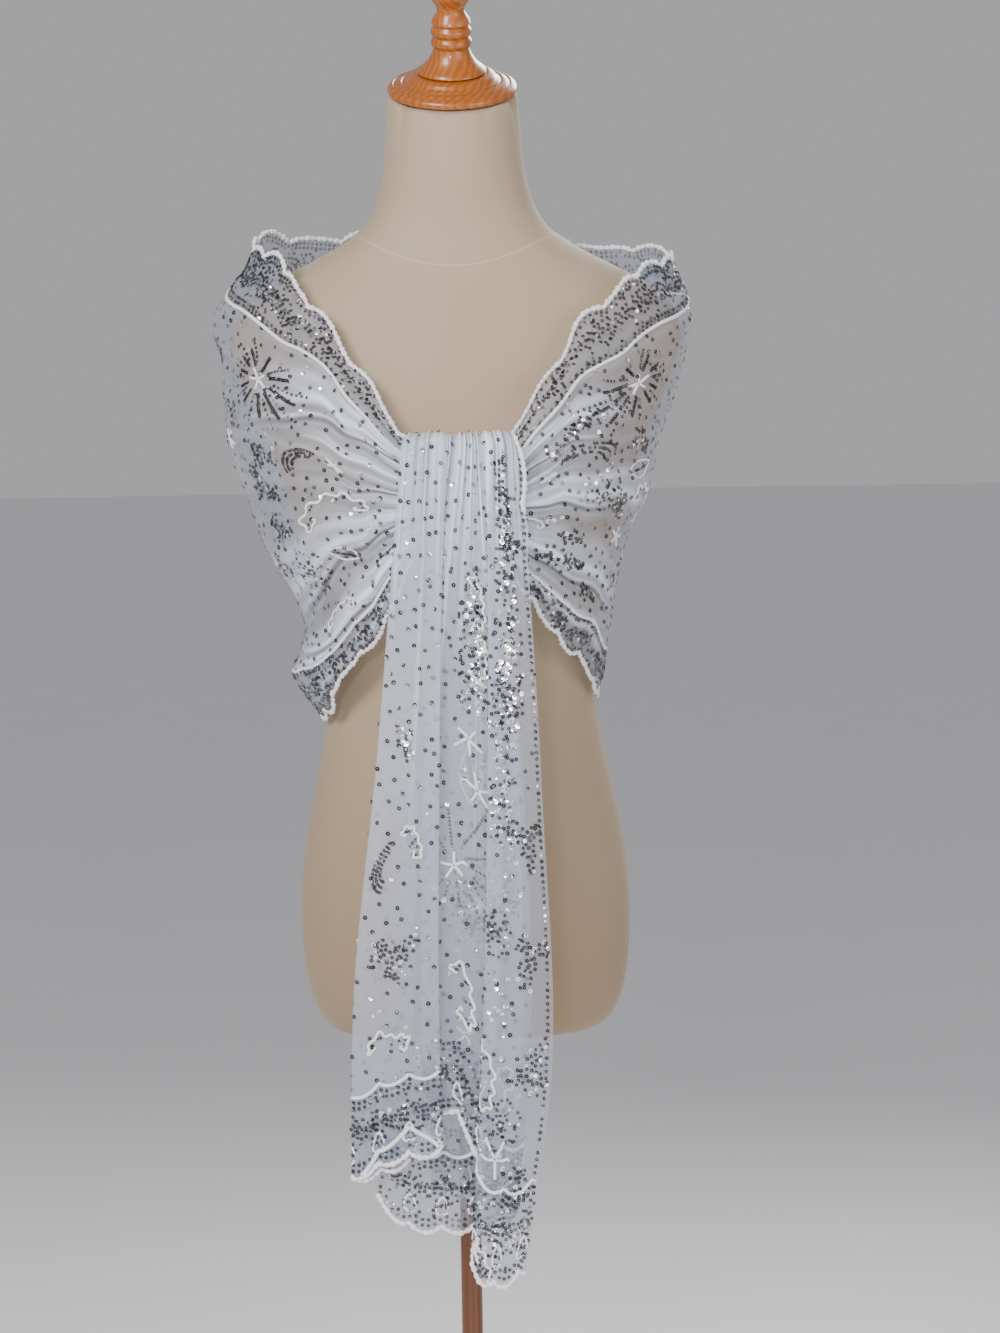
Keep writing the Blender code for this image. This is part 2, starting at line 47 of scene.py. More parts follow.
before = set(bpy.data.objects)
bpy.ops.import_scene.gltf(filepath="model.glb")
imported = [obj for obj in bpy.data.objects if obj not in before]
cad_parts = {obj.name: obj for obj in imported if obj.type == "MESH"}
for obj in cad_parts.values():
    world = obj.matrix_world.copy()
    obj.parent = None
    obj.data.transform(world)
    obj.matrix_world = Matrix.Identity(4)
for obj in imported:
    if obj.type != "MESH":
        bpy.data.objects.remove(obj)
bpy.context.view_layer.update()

# The drape that the wrapped cloth is pulled over
# columns: height, half width on the left, on the right, front depth, back depth, squareness
DRAPE_SECTIONS = (
    (1.0300, 0.1120, 0.1090, 0.1000, 0.0910, 2.2),
    (1.0520, 0.1150, 0.1095, 0.1060, 0.0935, 2.2),
    (1.0720, 0.1270, 0.1120, 0.1120, 0.0960, 2.2),
    (1.0880, 0.1350, 0.1150, 0.1180, 0.0980, 2.2),
    (1.1050, 0.1290, 0.1160, 0.1240, 0.1000, 2.2),
    (1.1300, 0.1280, 0.1215, 0.1320, 0.1040, 2.2),
    (1.1500, 0.1360, 0.1265, 0.1370, 0.1065, 2.2),
    (1.1800, 0.1520, 0.1320, 0.1420, 0.1095, 2.2),
    (1.2070, 0.1620, 0.1380, 0.1450, 0.1120, 2.2),
    (1.2350, 0.1720, 0.1530, 0.1465, 0.1140, 2.2),
    (1.2580, 0.1830, 0.1605, 0.1455, 0.1150, 2.2),
    (1.2780, 0.1880, 0.1640, 0.1430, 0.1150, 2.2),
    (1.3020, 0.1885, 0.1725, 0.1340, 0.1140, 2.2),
    (1.3280, 0.1905, 0.1830, 0.1190, 0.1100, 2.1),
    (1.3500, 0.1935, 0.1885, 0.1070, 0.1060, 2.1),
    (1.3700, 0.1990, 0.1915, 0.0980, 0.1010, 2.0),
    (1.3860, 0.1965, 0.1900, 0.0920, 0.0970, 2.0),
    (1.4060, 0.1820, 0.1845, 0.0860, 0.0930, 2.0),
    (1.4220, 0.1710, 0.1790, 0.0810, 0.0890, 2.0),
    (1.4400, 0.1650, 0.1760, 0.0750, 0.0850, 2.0),
    (1.4650, 0.1620, 0.1740, 0.0700, 0.0810, 2.0),
)

# The wrap's long edges, by the turn round the body from the knot
# columns: turn in degrees, left top, left bottom, right top, right bottom
WRAP_EDGES = (
    (0, 1.276, 1.212, 1.274, 1.216),
    (10, 1.281, 1.188, 1.278, 1.196),
    (15, 1.300, 1.172, 1.291, 1.180),
    (20, 1.325, 1.154, 1.317, 1.165),
    (26, 1.349, 1.132, 1.345, 1.149),
    (31, 1.374, 1.120, 1.370, 1.138),
    (37, 1.390, 1.107, 1.383, 1.125),
    (43, 1.399, 1.094, 1.392, 1.115),
    (49, 1.413, 1.079, 1.405, 1.108),
    (57, 1.426, 1.066, 1.414, 1.100),
    (68, 1.432, 1.058, 1.419, 1.081),
    (80, 1.436, 1.054, 1.422, 1.072),
    (92, 1.443, 1.052, 1.426, 1.068),
    (110, 1.449, 1.050, 1.432, 1.062),
    (125, 1.446, 1.046, 1.435, 1.054),
    (137, 1.444, 1.042, 1.433, 1.046),
    (150, 1.450, 1.038, 1.445, 1.040),
    (180, 1.456, 1.034, 1.456, 1.034),
)

# The wrap's threads, from the top edge to the bottom edge: cloth from the top edge in m, then
# shares of the height in hundredths and lifts in mm, each left of the knot, left side, back,
# right side, right of the knot
# columns: cloth from the top edge, five shares, five lifts
THREADS = (
    (0.000, 0.0, 0.0, 0.0, 0.0, 0.0, 0.0, 0.0, 0.0, 0.0, 0.0),
    (0.030, 8.5, 4.5, 6.0, 4.5, 11.0, -1.5, 0.0, 0.5, 0.0, -1.5),
    (0.060, 17.0, 9.0, 12.0, 9.0, 24.0, 2.5, 1.2, 1.5, 1.2, 2.5),
    (0.115, 29.0, 21.5, 24.0, 22.0, 35.0, -2.5, -0.6, -2.0, -0.6, -2.5),
    (0.170, 41.0, 33.5, 36.0, 34.5, 46.0, 3.0, 1.5, 3.5, 1.5, 3.0),
    (0.230, 53.0, 46.0, 49.0, 46.5, 56.0, -2.5, -0.5, -2.0, 0.0, -1.5),
    (0.290, 65.0, 60.0, 62.0, 60.0, 67.0, 3.3, 3.0, 4.0, 3.0, 3.0),
    (0.350, 77.0, 73.5, 75.0, 73.5, 78.0, -3.0, -1.5, -2.0, -1.0, -3.0),
    (0.425, 89.0, 87.5, 88.0, 87.5, 89.0, 3.3, 3.2, 3.0, 2.5, 3.3),
    (0.500, 100.0, 100.0, 100.0, 100.0, 100.0, 0.0, 0.5, 0.0, 0.5, 0.0),
)

# How the folds swell at the sides, where the wings begin and end in degrees of turn, the scallops'
# depth in m and reach in threads, and the steps in which a stretch is measured
FOLD_SWELL = 0.5
WING_FROM_TURN = 0.15
WING_TO_TURN = 98.0
SCALLOP_DEPTH = 0.0065
SCALLOP_REACH = 1.2
SCALLOPS_PER_WING = 7
SCALLOPS_PER_BACK = 8
FINE_STEPS = 240
SECTION_STEPS = 600

# How net that lies closer than it was cut reads as gathered
SLACK_FULLNESS = 0.75
SLACK_SPAN = 5
SLACK_GATHER = 0.8

# A crease's flanks and the painted shadow line in a trough's fold, as shares of its half width, and how
# closely the net is set in it, which the finish also paints lighter as a highlight
FLANK_PLACE = 0.7
FLANK_WIDTH = 0.34
FOLD_SHADOW_WIDTH = 0.42
FAR_FLANK = 0.35
RIDGE_PACKING = 0.55
CREASE_GATHER = 0.55

# How the wing's creases spread from the knot, in degrees of turn, and how they fade
CREASE_FAN = 0.6
CREASE_RISE = (-2, 8)
CREASE_FADE = 0.55
KNOT_PULL = 20
KNOT_GATHER = 0.2
RIPPLE_GATHER = 0.6

# Turns, seen as 0 to 360 degrees, between which the back's creases run, and their painted fold shadow
BACK_SIDES = (110, 250)
BACK_RISE = (100, 135)
BACK_FALL = (225, 260)
BACK_FOLD_PAINTED_SHADOW = 0.6

# Creases that run into the knot on each wing
# columns: side, thread at the knot, thread outside, half width in threads, height in mm, from turn, to turn
WING_CREASES = (
    (-1, 1.5, 3.4, 0.36, 1.8, 2, 66),
    (-1, 2.1, 4.3, 0.16, -1.6, 2, 72),
    (-1, 3.5, 3.9, 0.13, 1.2, 4, 44),
    (-1, 4.5, 5.1, 0.14, -1.2, 3, 38),
    (-1, 5.4, 7.0, 0.34, 3.2, 3, 104),
    (-1, 5.9, 7.6, 0.15, -2.2, 5, 100),
    (-1, 7.3, 8.1, 0.30, 3.0, 6, 104),
    (-1, 8.2, 7.9, 0.12, -2.0, 10, 92),
    (-1, 8.7, 8.6, 0.14, 1.8, 14, 96),
    (1, 1.7, 3.5, 0.32, 1.8, 2, 58),
    (1, 3.0, 4.2, 0.13, -1.3, 3, 50),
    (1, 3.9, 4.5, 0.12, 1.0, 4, 34),
    (1, 5.0, 5.5, 0.30, 3.0, 3, 98),
    (1, 5.3, 6.0, 0.14, -2.1, 5, 66),
    (1, 6.6, 7.1, 0.34, 2.6, 4, 100),
    (1, 7.4, 7.6, 0.14, -2.2, 8, 94),
    (1, 8.3, 8.2, 0.18, 2.0, 12, 96),
)
# columns: thread at the left side, at the right side, half width in threads, height in mm
BACK_CREASES = (
    (2.6, 3.1, 0.20, 1.6),
    (3.9, 3.5, 0.22, -1.8),
    (5.1, 5.6, 0.18, 2.2),
    (6.6, 6.2, 0.20, 1.7),
    (7.4, 7.9, 0.16, -1.8),
    (8.3, 7.7, 0.15, 2.0),
)

# Fine ripples that fan out from the knot
# columns: reach in degrees, pitch in threads, phase in radians, height in mm
KNOT_RIPPLES = (
    (17, 0.26, 0.4, 0.5),
    (24, 0.43, 2.1, 0.7),
    (38, 0.71, 1.2, 0.9),
)

# Folds of the two hanging ends, in the order in which the cloth passes them
# columns: four places across, depth under the knot, depth below, height of the hem
FRONT_END_FOLDS = (
    (-0.026, -0.034, -0.040, -0.046, 0.0010, 0.0030, 0.712),
    (-0.043, -0.066, -0.088, -0.092, 0.0016, 0.0050, 0.698),
    (-0.027, -0.040, -0.052, -0.056, 0.0040, 0.0095, 0.716),
    (-0.010, -0.016, -0.020, -0.020, 0.0030, 0.0115, 0.724),
    (-0.002, -0.028, -0.034, -0.036, 0.0018, 0.0055, 0.745),
    (0.012, 0.004, -0.004, -0.008, 0.0028, 0.0022, 0.750),
    (0.019, 0.032, 0.026, 0.012, 0.0016, 0.0024, 0.690),
    (0.026, 0.020, 0.012, 0.002, 0.0034, 0.0066, 0.630),
    (0.038, 0.044, 0.040, 0.021, 0.0042, 0.0092, 0.614),
    (0.050, 0.063, 0.067, 0.044, 0.0012, 0.0040, 0.624),
)
REAR_END_FOLDS = (
    (-0.030, -0.048, -0.062, -0.072, 0.0030, 0.0062, 0.682),
    (-0.018, -0.028, -0.040, -0.049, 0.0045, 0.0080, 0.660),
    (0.004, 0.000, -0.010, -0.016, 0.0030, 0.0050, 0.655),
    (0.022, 0.028, 0.022, 0.018, 0.0040, 0.0062, 0.657),
    (0.030, 0.050, 0.052, 0.038, 0.0020, 0.0030, 0.666),
    (0.012, 0.020, 0.016, 0.010, 0.0010, 0.0004, 0.678),
    (-0.012, -0.022, -0.028, -0.030, 0.0014, 0.0010, 0.684),
)

# How the ends hang: the shares of the drop at which the folds' places and depths are given, the
# planes and tops, the turn over the knot, the scallops and the wave of the front end's free side
LEVELS = (0.0, 0.42, 0.76, 1.0)
DEPTH_LEVELS = (0.0, 0.42)
FRONT_END_PLANE_Y = -0.1685
FRONT_END_TOP = 1.2812
REAR_END_PLANE_Y = -0.1545
REAR_END_TOP = 1.2154
TURN_RADIUS = 0.0072
OVER_TURN = math.radians(150)
OVER_SHARE = 0.2
OVER_NARROWING = 0.14
HEM_SCALLOP_PITCH = 0.0235
SIDE_WAVE = 0.0038
SIDE_WAVE_SHARE = 0.071
SIDE_WAVE_WIDTH = 0.012
SIDE_WAVE_END = (0.09, 0.16)
SWAY = 0.0008

# Close pleats where the front end comes over the knot
# columns: pitch in m, phase in radians
KNOT_PLEATS = ((0.0071, 0.3), (0.0117, 1.9), (0.0206, 0.8))
PLEAT_HEIGHT = 0.0007
PLEAT_GATHER = 0.32
PLEAT_SLANT = 9.0
SMOOTH_SIDE = (0.085, 0.135)
SMOOTH_SIDE_PLEATS = 0.35

# How the ends bunch under the knot, how closely their net is set and how much lighter it is painted as
# a highlight, from hem to knot and in creases, and the painted shadow in their creases' folds
BUNCHED_SHARE = 0.13
BUNCHED_CREASES = 0.9
HEM_GATHER = 0.07
TOP_GATHER = 0.27
END_CREASE_GATHER = 0.3
END_FOLD_PAINTED_SHADOW = 0.45
END_CREASE_FADE = 0.6

# Creases of the front end, which spread from the knot
# columns: place across the cloth at the top, at the lower end, half width in mm, height in mm,
# from share, to share
FRONT_CREASES = (
    (0.055, 0.050, 2.6, 1.3, -0.2, 0.34),
    (0.078, 0.070, 2.2, -1.1, -0.2, 0.26),
    (0.094, 0.082, 2.4, 1.3, -0.2, 0.62),
    (0.112, 0.108, 2.0, 1.2, -0.2, 0.30),
    (0.126, 0.130, 2.4, -1.3, -0.2, 0.55),
    (0.141, 0.140, 2.2, 1.4, -0.2, 0.95),
    (0.158, 0.152, 2.0, 1.1, -0.2, 0.40),
    (0.172, 0.176, 2.4, -1.2, -0.2, 0.80),
    (0.188, 0.190, 2.2, 1.3, -0.2, 1.00),
    (0.204, 0.200, 2.0, 1.0, -0.2, 0.45),
)

# The camera of the photograph's view
CAMERA_PLACE = (0.0316, -3.10, 1.30)
CAMERA_PITCH = math.radians(86.133)
CAMERA_ROLL = math.radians(-0.9)
CAMERA_LENS = 101.5
FRAME_LONG_SIDE = 36.0

# The soft lights, which face the shawl
# columns: name, place, size in m, share of the key light's power
LIGHTS = (
    ("key", (-1.5, -2.7, 2.7), 1.1, 1),
    ("fill", (2.3, -2.3, 1.5), 1.8, 0.35),
    ("rim", (0.9, 2.2, 2.6), 1.2, 0.55),
    ("flash", (-0.35, -3.3, 1.75), 0.25, 0.24),
)
LIT_PLACE = (0, 0, 1.15)
FLOOR_RADIUS = 60

# The form's neck: its seam lies on a ball round a centre, and the cap stands on its tilted top
NECK_SEAM_CENTRE = (0.0, 0.0, 1.500)
NECK_SEAM_RADIUS = 0.0985
NECK_TILT = math.radians(22)
NECK_FOOT = (0.0, -0.012, 1.561)

# The gap between pieces, and the distance from the axis at which it becomes a turn
JOINT_GAP = 0.0003
BACK_RADIUS = 0.09


def smooth(at, known, values):
    """Reads a smooth curve through a table's values, whose first axis goes with the known places."""
    known = np.asarray(known, float)
    values = np.asarray(values, float)
    at = np.clip(at, known[0], known[-1])
    slopes = np.gradient(values, known, axis=0)
    i = np.clip(np.searchsorted(known, at) - 1, 0, len(known) - 2)
    span = known[i + 1] - known[i]
    p = (at - known[i]) / span
    return (
        (2 * p**3 - 3 * p**2 + 1) * values[i]
        + (p**3 - 2 * p**2 + p) * span * slopes[i]
        + (3 * p**2 - 2 * p**3) * values[i + 1]
        + (p**3 - p**2) * span * slopes[i + 1]
    )


def column(table, number):
    """One column of a table."""
    return [row[number] for row in table]


def run_along(points):
    """How far along a line each of its points lies."""
    return np.concatenate([[0], np.cumsum(np.linalg.norm(np.diff(points, axis=0), axis=1))])


def ramp(value, low, high):
    """0 below low, 1 above high, and an even S between them."""
    share = np.clip((value - low) / (high - low), 0, 1)
    return share * share * (3 - 2 * share)


def lobes(place, pitch):
    """How far a scalloped edge stands out, from 0 in a notch to 1 on a lobe."""
    return np.abs(np.sin(np.pi * place / pitch)) ** 0.7


class Stretch:
    """One stretch of the shawl: a grid of points, each with its place in the flat cloth."""

    def __init__(self, points, along, down, gather_and_highlight, dark):
        self.points = points
        self.along = along
        self.down = down
        # Painted shadow in the creases' folds, from 0 to 1
        self.dark = dark
        run = np.gradient(points, axis=1)
        fall = np.gradient(points, axis=0)
        normals = np.cross(fall, run)
        self.normals = normals / np.linalg.norm(normals, axis=2, keepdims=True)
        self.fullness = np.linalg.norm(fall, axis=2) / np.gradient(down)[:, None]
        packed = np.clip((SLACK_FULLNESS / self.fullness - 1) / SLACK_SPAN, 0, 1)
        # How closely the net is set; the finish also paints it lighter, as a highlight on the folds
        self.gather_and_highlight = np.clip(gather_and_highlight + SLACK_GATHER * packed, 0, 1)

    def _mix(self, grid, along, down):
        """Reads a grid's values between its points."""
        c = np.interp(along, self.along, np.arange(len(self.along)))
        r = np.interp(down, self.down, np.arange(len(self.down)))
        j = np.clip(c.astype(int), 0, len(self.along) - 2)
        i = np.clip(r.astype(int), 0, len(self.down) - 2)
        fc, fr = c - j, r - i
        if grid.ndim == 3:
            fc, fr = fc[..., None], fr[..., None]
        top = grid[i, j] * (1 - fc) + grid[i, j + 1] * fc
        low = grid[i + 1, j] * (1 - fc) + grid[i + 1, j + 1] * fc
        return top * (1 - fr) + low * fr

    def at(self, places):
        """Points and unit normals at places (along, down) in the flat cloth."""
        along, down = places[..., 0], places[..., 1]
        normals = self._mix(self.normals, along, down)
        normals = normals / np.linalg.norm(normals, axis=-1, keepdims=True)
        return self._mix(self.points, along, down), normals

    def spread_at(self, places):
        """How wide the cloth lies there, as a share of its flat width."""
        return self._mix(self.fullness, places[..., 0], places[..., 1])

    def holds(self, places, margin=0.0):
        """Which places lie on this stretch."""
        along, down = places[..., 0], places[..., 1]
        inside = (along > self.along[0] + margin) & (along < self.along[-1] - margin)
        return inside & (down > self.down[0] + margin) & (down < self.down[-1] - margin)


def by_station(turn, values):
    """Blends five values by the turn: left of the knot, left side, back, right side, right."""
    left, left_side, back, right_side, right = (np.asarray(v)[..., None] for v in values)
    away = np.abs(turn)
    near, far = np.clip(away / 90, 0, 1), np.clip((away - 90) / 90, 0, 1)
    at_left = (left * (1 - near) + left_side * near) * (1 - far) + back * far
    at_right = (right * (1 - near) + right_side * near) * (1 - far) + back * far
    return np.where(turn < 0, at_left, at_right)


def crease(across, width, height):
    """One crease over distances from its line: lift, close-set net with painted highlight, painted fold
    shadow.
    """
    core = np.exp(-((across / width) ** 2))
    flanks = np.exp(-(((np.abs(across) - FLANK_PLACE * width) / (FLANK_WIDTH * width)) ** 2))
    packed = flanks * np.where(across * height > 0, 1.0, FAR_FLANK)
    if height > 0:
        return height * core, packed + RIDGE_PACKING * core, 0 * core
    # A trough gets a painted shadow line in its fold
    return height * core, packed, np.exp(-((across / (FOLD_SHADOW_WIDTH * width)) ** 2))


def wrap_creases(turns, threads):
    """The wrap's creases over threads and turns: lift in mm, gathering with painted highlight, painted fold
    shadow.
    """
    lift = np.zeros((len(threads), len(turns)))
    gather_and_highlight = lift + KNOT_GATHER * np.exp(-np.abs(turns) / KNOT_PULL)
    # Painted shadow in the creases' folds
    dark = np.zeros_like(lift)
    for side, near, outside, width, height, start, stop in WING_CREASES:
        away = turns * side
        path = near + (outside - near) * np.clip((away - start) / (stop - start), 0, 1) ** CREASE_FAN
        reach = ramp(away, start + CREASE_RISE[0], start + CREASE_RISE[1])
        reach = reach * (1 - ramp(away, stop * CREASE_FADE, stop)) * (away > 0)
        line, packed, shadow = crease(threads[:, None] - path, width, height)
        lift += reach * line
        gather_and_highlight += reach * packed
        dark += reach * shadow
    round_back = np.where(turns < 0, turns + 360, turns)
    for left, right, width, height in BACK_CREASES:
        path = np.interp(round_back, BACK_SIDES, (right, left))
        reach = ramp(round_back, *BACK_RISE) * (1 - ramp(round_back, *BACK_FALL))
        reach = reach * (0.68 + 0.32 * np.sin(round_back * 0.105 + left * 3.1))
        line, packed, shadow = crease(threads[:, None] - path, width, height)
        lift += reach * line
        gather_and_highlight += reach * packed
        dark += BACK_FOLD_PAINTED_SHADOW * reach * shadow
    for reach, pitch, phase, height in KNOT_RIPPLES:
        pull = np.exp(-np.abs(turns) / reach)
        ripple = np.sin(2 * np.pi * threads[:, None] / pitch + phase + 0.8 * np.sin(turns * 0.09))
        lift += height * pull * ripple
        gather_and_highlight += RIPPLE_GATHER * pull * (0.5 + 0.5 * ripple) ** 3
    return lift, CREASE_GATHER * gather_and_highlight, np.minimum(dark, 1)


def wrap_stretch(from_turn, to_turn, columns, rows, scallops):
    """A stretch of the wrapped cloth. Turns are in degrees, below 0 on the viewer's left."""
    fine = np.linspace(from_turn, to_turn, FINE_STEPS)
    run = run_along(wrap_points(fine, np.array([(len(THREADS) - 1) / 2]), None)[0])
    along = np.linspace(0, run[-1], columns + 1)
    turns = np.interp(along, run, fine)
    threads = np.linspace(0, len(THREADS) - 1, rows + 1)
    down = smooth(threads, range(len(THREADS)), column(THREADS, 0))
    edge = SCALLOP_DEPTH * (lobes(along, run[-1] / scallops) - 0.5)
    signed = (turns + 180) % 360 - 180
    gather_and_highlight, dark = wrap_creases(signed, threads)[1:]
    return Stretch(wrap_points(turns, threads, edge), along, down, gather_and_highlight, dark)


def wrap_points(turns, threads, edge):
    """Points of the wrapped cloth over threads and turns, its edges raised by their scallops if given."""
    signed = (turns + 180) % 360 - 180
    away = np.abs(signed)
    left = signed < 0
    edges = [smooth(away, column(WRAP_EDGES, 0), column(WRAP_EDGES, k)) for k in range(1, 5)]
    top, bottom = np.where(left, edges[0], edges[2]), np.where(left, edges[1], edges[3])
    numbers = range(len(THREADS))
    values = [smooth(threads, numbers, column(THREADS, k)) for k in range(1, 11)]
    share = by_station(signed, values[:5]) / 100
    swell = 1 + FOLD_SWELL * np.sin(np.radians(2 * np.minimum(away, 90))) ** 2
    lift = (swell * by_station(signed, values[5:]) + wrap_creases(signed, threads)[0]) / 1000
    height = top + (bottom - top) * share
    if edge is not None:
        last = len(THREADS) - 1
        height += edge * (1 - ramp(threads, 0, SCALLOP_REACH))[:, None]
        height -= edge * ramp(threads, last - SCALLOP_REACH, last)[:, None]
    heights = column(DRAPE_SECTIONS, 0)
    width_left, width_right, front, back, square = (
        smooth(height, heights, column(DRAPE_SECTIONS, k)) for k in range(1, 6)
    )
    width = np.where(left, width_left, width_right)
    angle = np.radians(signed)
    across, forward = np.sin(angle), np.cos(angle)
    depth = np.where(forward > 0, front, back)
    x = np.sign(across) * width * np.abs(across) ** (2 / square)
    y = -np.sign(forward) * depth * np.abs(forward) ** (2 / square)
    grow = 1 + lift / np.hypot(x, y)
    return np.stack([x * grow, y * grow, height], axis=2)


def end_stretch(folds, columns, rows, plane_y, top, turn_rows, creases):
    """A hanging end: its folded section, carried over the knot and down to its hem."""
    numbers = np.arange(len(folds))
    table = np.array(folds)
    fine = np.linspace(0, numbers[-1], SECTION_STEPS)
    low_x, low_depth = smooth(fine, numbers, table[:, 2]), smooth(fine, numbers, table[:, 5])
    run = np.concatenate([[0], np.cumsum(np.hypot(np.diff(low_x), np.diff(low_depth)))])
    along = np.linspace(0, run[-1], columns + 1)
    places = np.interp(along, run, fine)
    across = np.array([smooth(places, numbers, table[:, k]) for k in range(4)])
    depths = np.array([smooth(places, numbers, table[:, k]) for k in (4, 5)])
    hems = smooth(places, numbers, table[:, 6])
    hems = hems - SCALLOP_DEPTH * (lobes(along, HEM_SCALLOP_PITCH) - 0.5)
    straight_top = top - (TURN_RADIUS if turn_rows else 0)
    at_side = ramp(along, along[-1] - SIDE_WAVE_WIDTH, along[-1])
    points, gathers_and_highlights, painted_shadows = [], [], []
    for r in range(-turn_rows, rows + 1):
        share = max(r, 0) / rows
        place = share if r >= 0 else OVER_SHARE * r / turn_rows
        x = smooth(share, LEVELS, across)
        free_edge = 1 - float(ramp(share, *SIDE_WAVE_END))
        x = x + at_side * free_edge * SIDE_WAVE * (lobes(share, SIDE_WAVE_SHARE) - 0.5)
        depth = depths[0] + (depths[1] - depths[0]) * min(1.0, share / DEPTH_LEVELS[1])
        bunched = float(np.exp(-((max(place, 0) / BUNCHED_SHARE) ** 2)))
        gather_and_highlight = np.full(len(along), HEM_GATHER + TOP_GATHER * (1 - share))
        dark = np.zeros(len(along))
        for high, low, width, height, start, stop in creases:
            path = high + (low - high) * share
            fade = start + (stop - start) * END_CREASE_FADE
            reach = 1 - float(ramp(place, fade, stop)) if stop < 1 else 1.0
            line, packed, shadow = crease(along - path, width / 1000, height / 1000)
            depth = depth + reach * (1 + BUNCHED_CREASES * bunched) * line
            gather_and_highlight = gather_and_highlight + END_CREASE_GATHER * reach * packed
            # Painted shadow in the crease's fold
            dark = dark + END_FOLD_PAINTED_SHADOW * reach * shadow
        for pitch, phase in KNOT_PLEATS:
            pleat = np.sin(2 * np.pi * along / pitch + phase + PLEAT_SLANT * share)
            pull = bunched * (SMOOTH_SIDE_PLEATS + (1 - SMOOTH_SIDE_PLEATS) * ramp(along, *SMOOTH_SIDE))
            depth = depth + PLEAT_HEIGHT * pull * pleat
            gather_and_highlight = gather_and_highlight + PLEAT_GATHER * pull * (0.5 + 0.5 * pleat) ** 2
        gathers_and_highlights.append(gather_and_highlight)
        painted_shadows.append(np.minimum(dark, 1))
        if r >= 0:
            sway = SWAY * np.sin(share * 9 + along * 40)
            z = straight_top + (hems - straight_top) * share
            points.append(np.stack([x, plane_y - depth - sway, z], axis=1))
            continue
        angle = OVER_TURN * -r / turn_rows
        reach = TURN_RADIUS + depth
        narrow = 1 - OVER_NARROWING * -r / turn_rows
        y = plane_y + TURN_RADIUS - reach * math.cos(angle)
        points.append(np.stack([x * narrow, y, straight_top + reach * math.sin(angle)], axis=1))
    points = np.array(points)
    fall = run_along(points[:, columns // 2])
    return Stretch(points, along, fall, np.array(gathers_and_highlights), np.array(painted_shadows))


def shawl_stretches():
    """All stretches of the shawl, by the node that each stands for."""
    seam = math.degrees(JOINT_GAP / BACK_RADIUS)
    back_from, back_to = WING_TO_TURN + seam, 360 - WING_TO_TURN - seam
    front = (FRONT_END_PLANE_Y, FRONT_END_TOP, 16, FRONT_CREASES)
    rear = (REAR_END_PLANE_Y, REAR_END_TOP, 0, ())
    return {
        "wing_left": wrap_stretch(-WING_TO_TURN, -WING_FROM_TURN, 170, 230, SCALLOPS_PER_WING),
        "wing_right": wrap_stretch(WING_FROM_TURN, WING_TO_TURN, 170, 230, SCALLOPS_PER_WING),
        "back_wrap": wrap_stretch(back_from, back_to, 180, 200, SCALLOPS_PER_BACK),
        "front_end": end_stretch(FRONT_END_FOLDS, 220, 190, *front),
        "rear_end": end_stretch(REAR_END_FOLDS, 110, 130, *rear),
    }


STRETCHES = shawl_stretches()
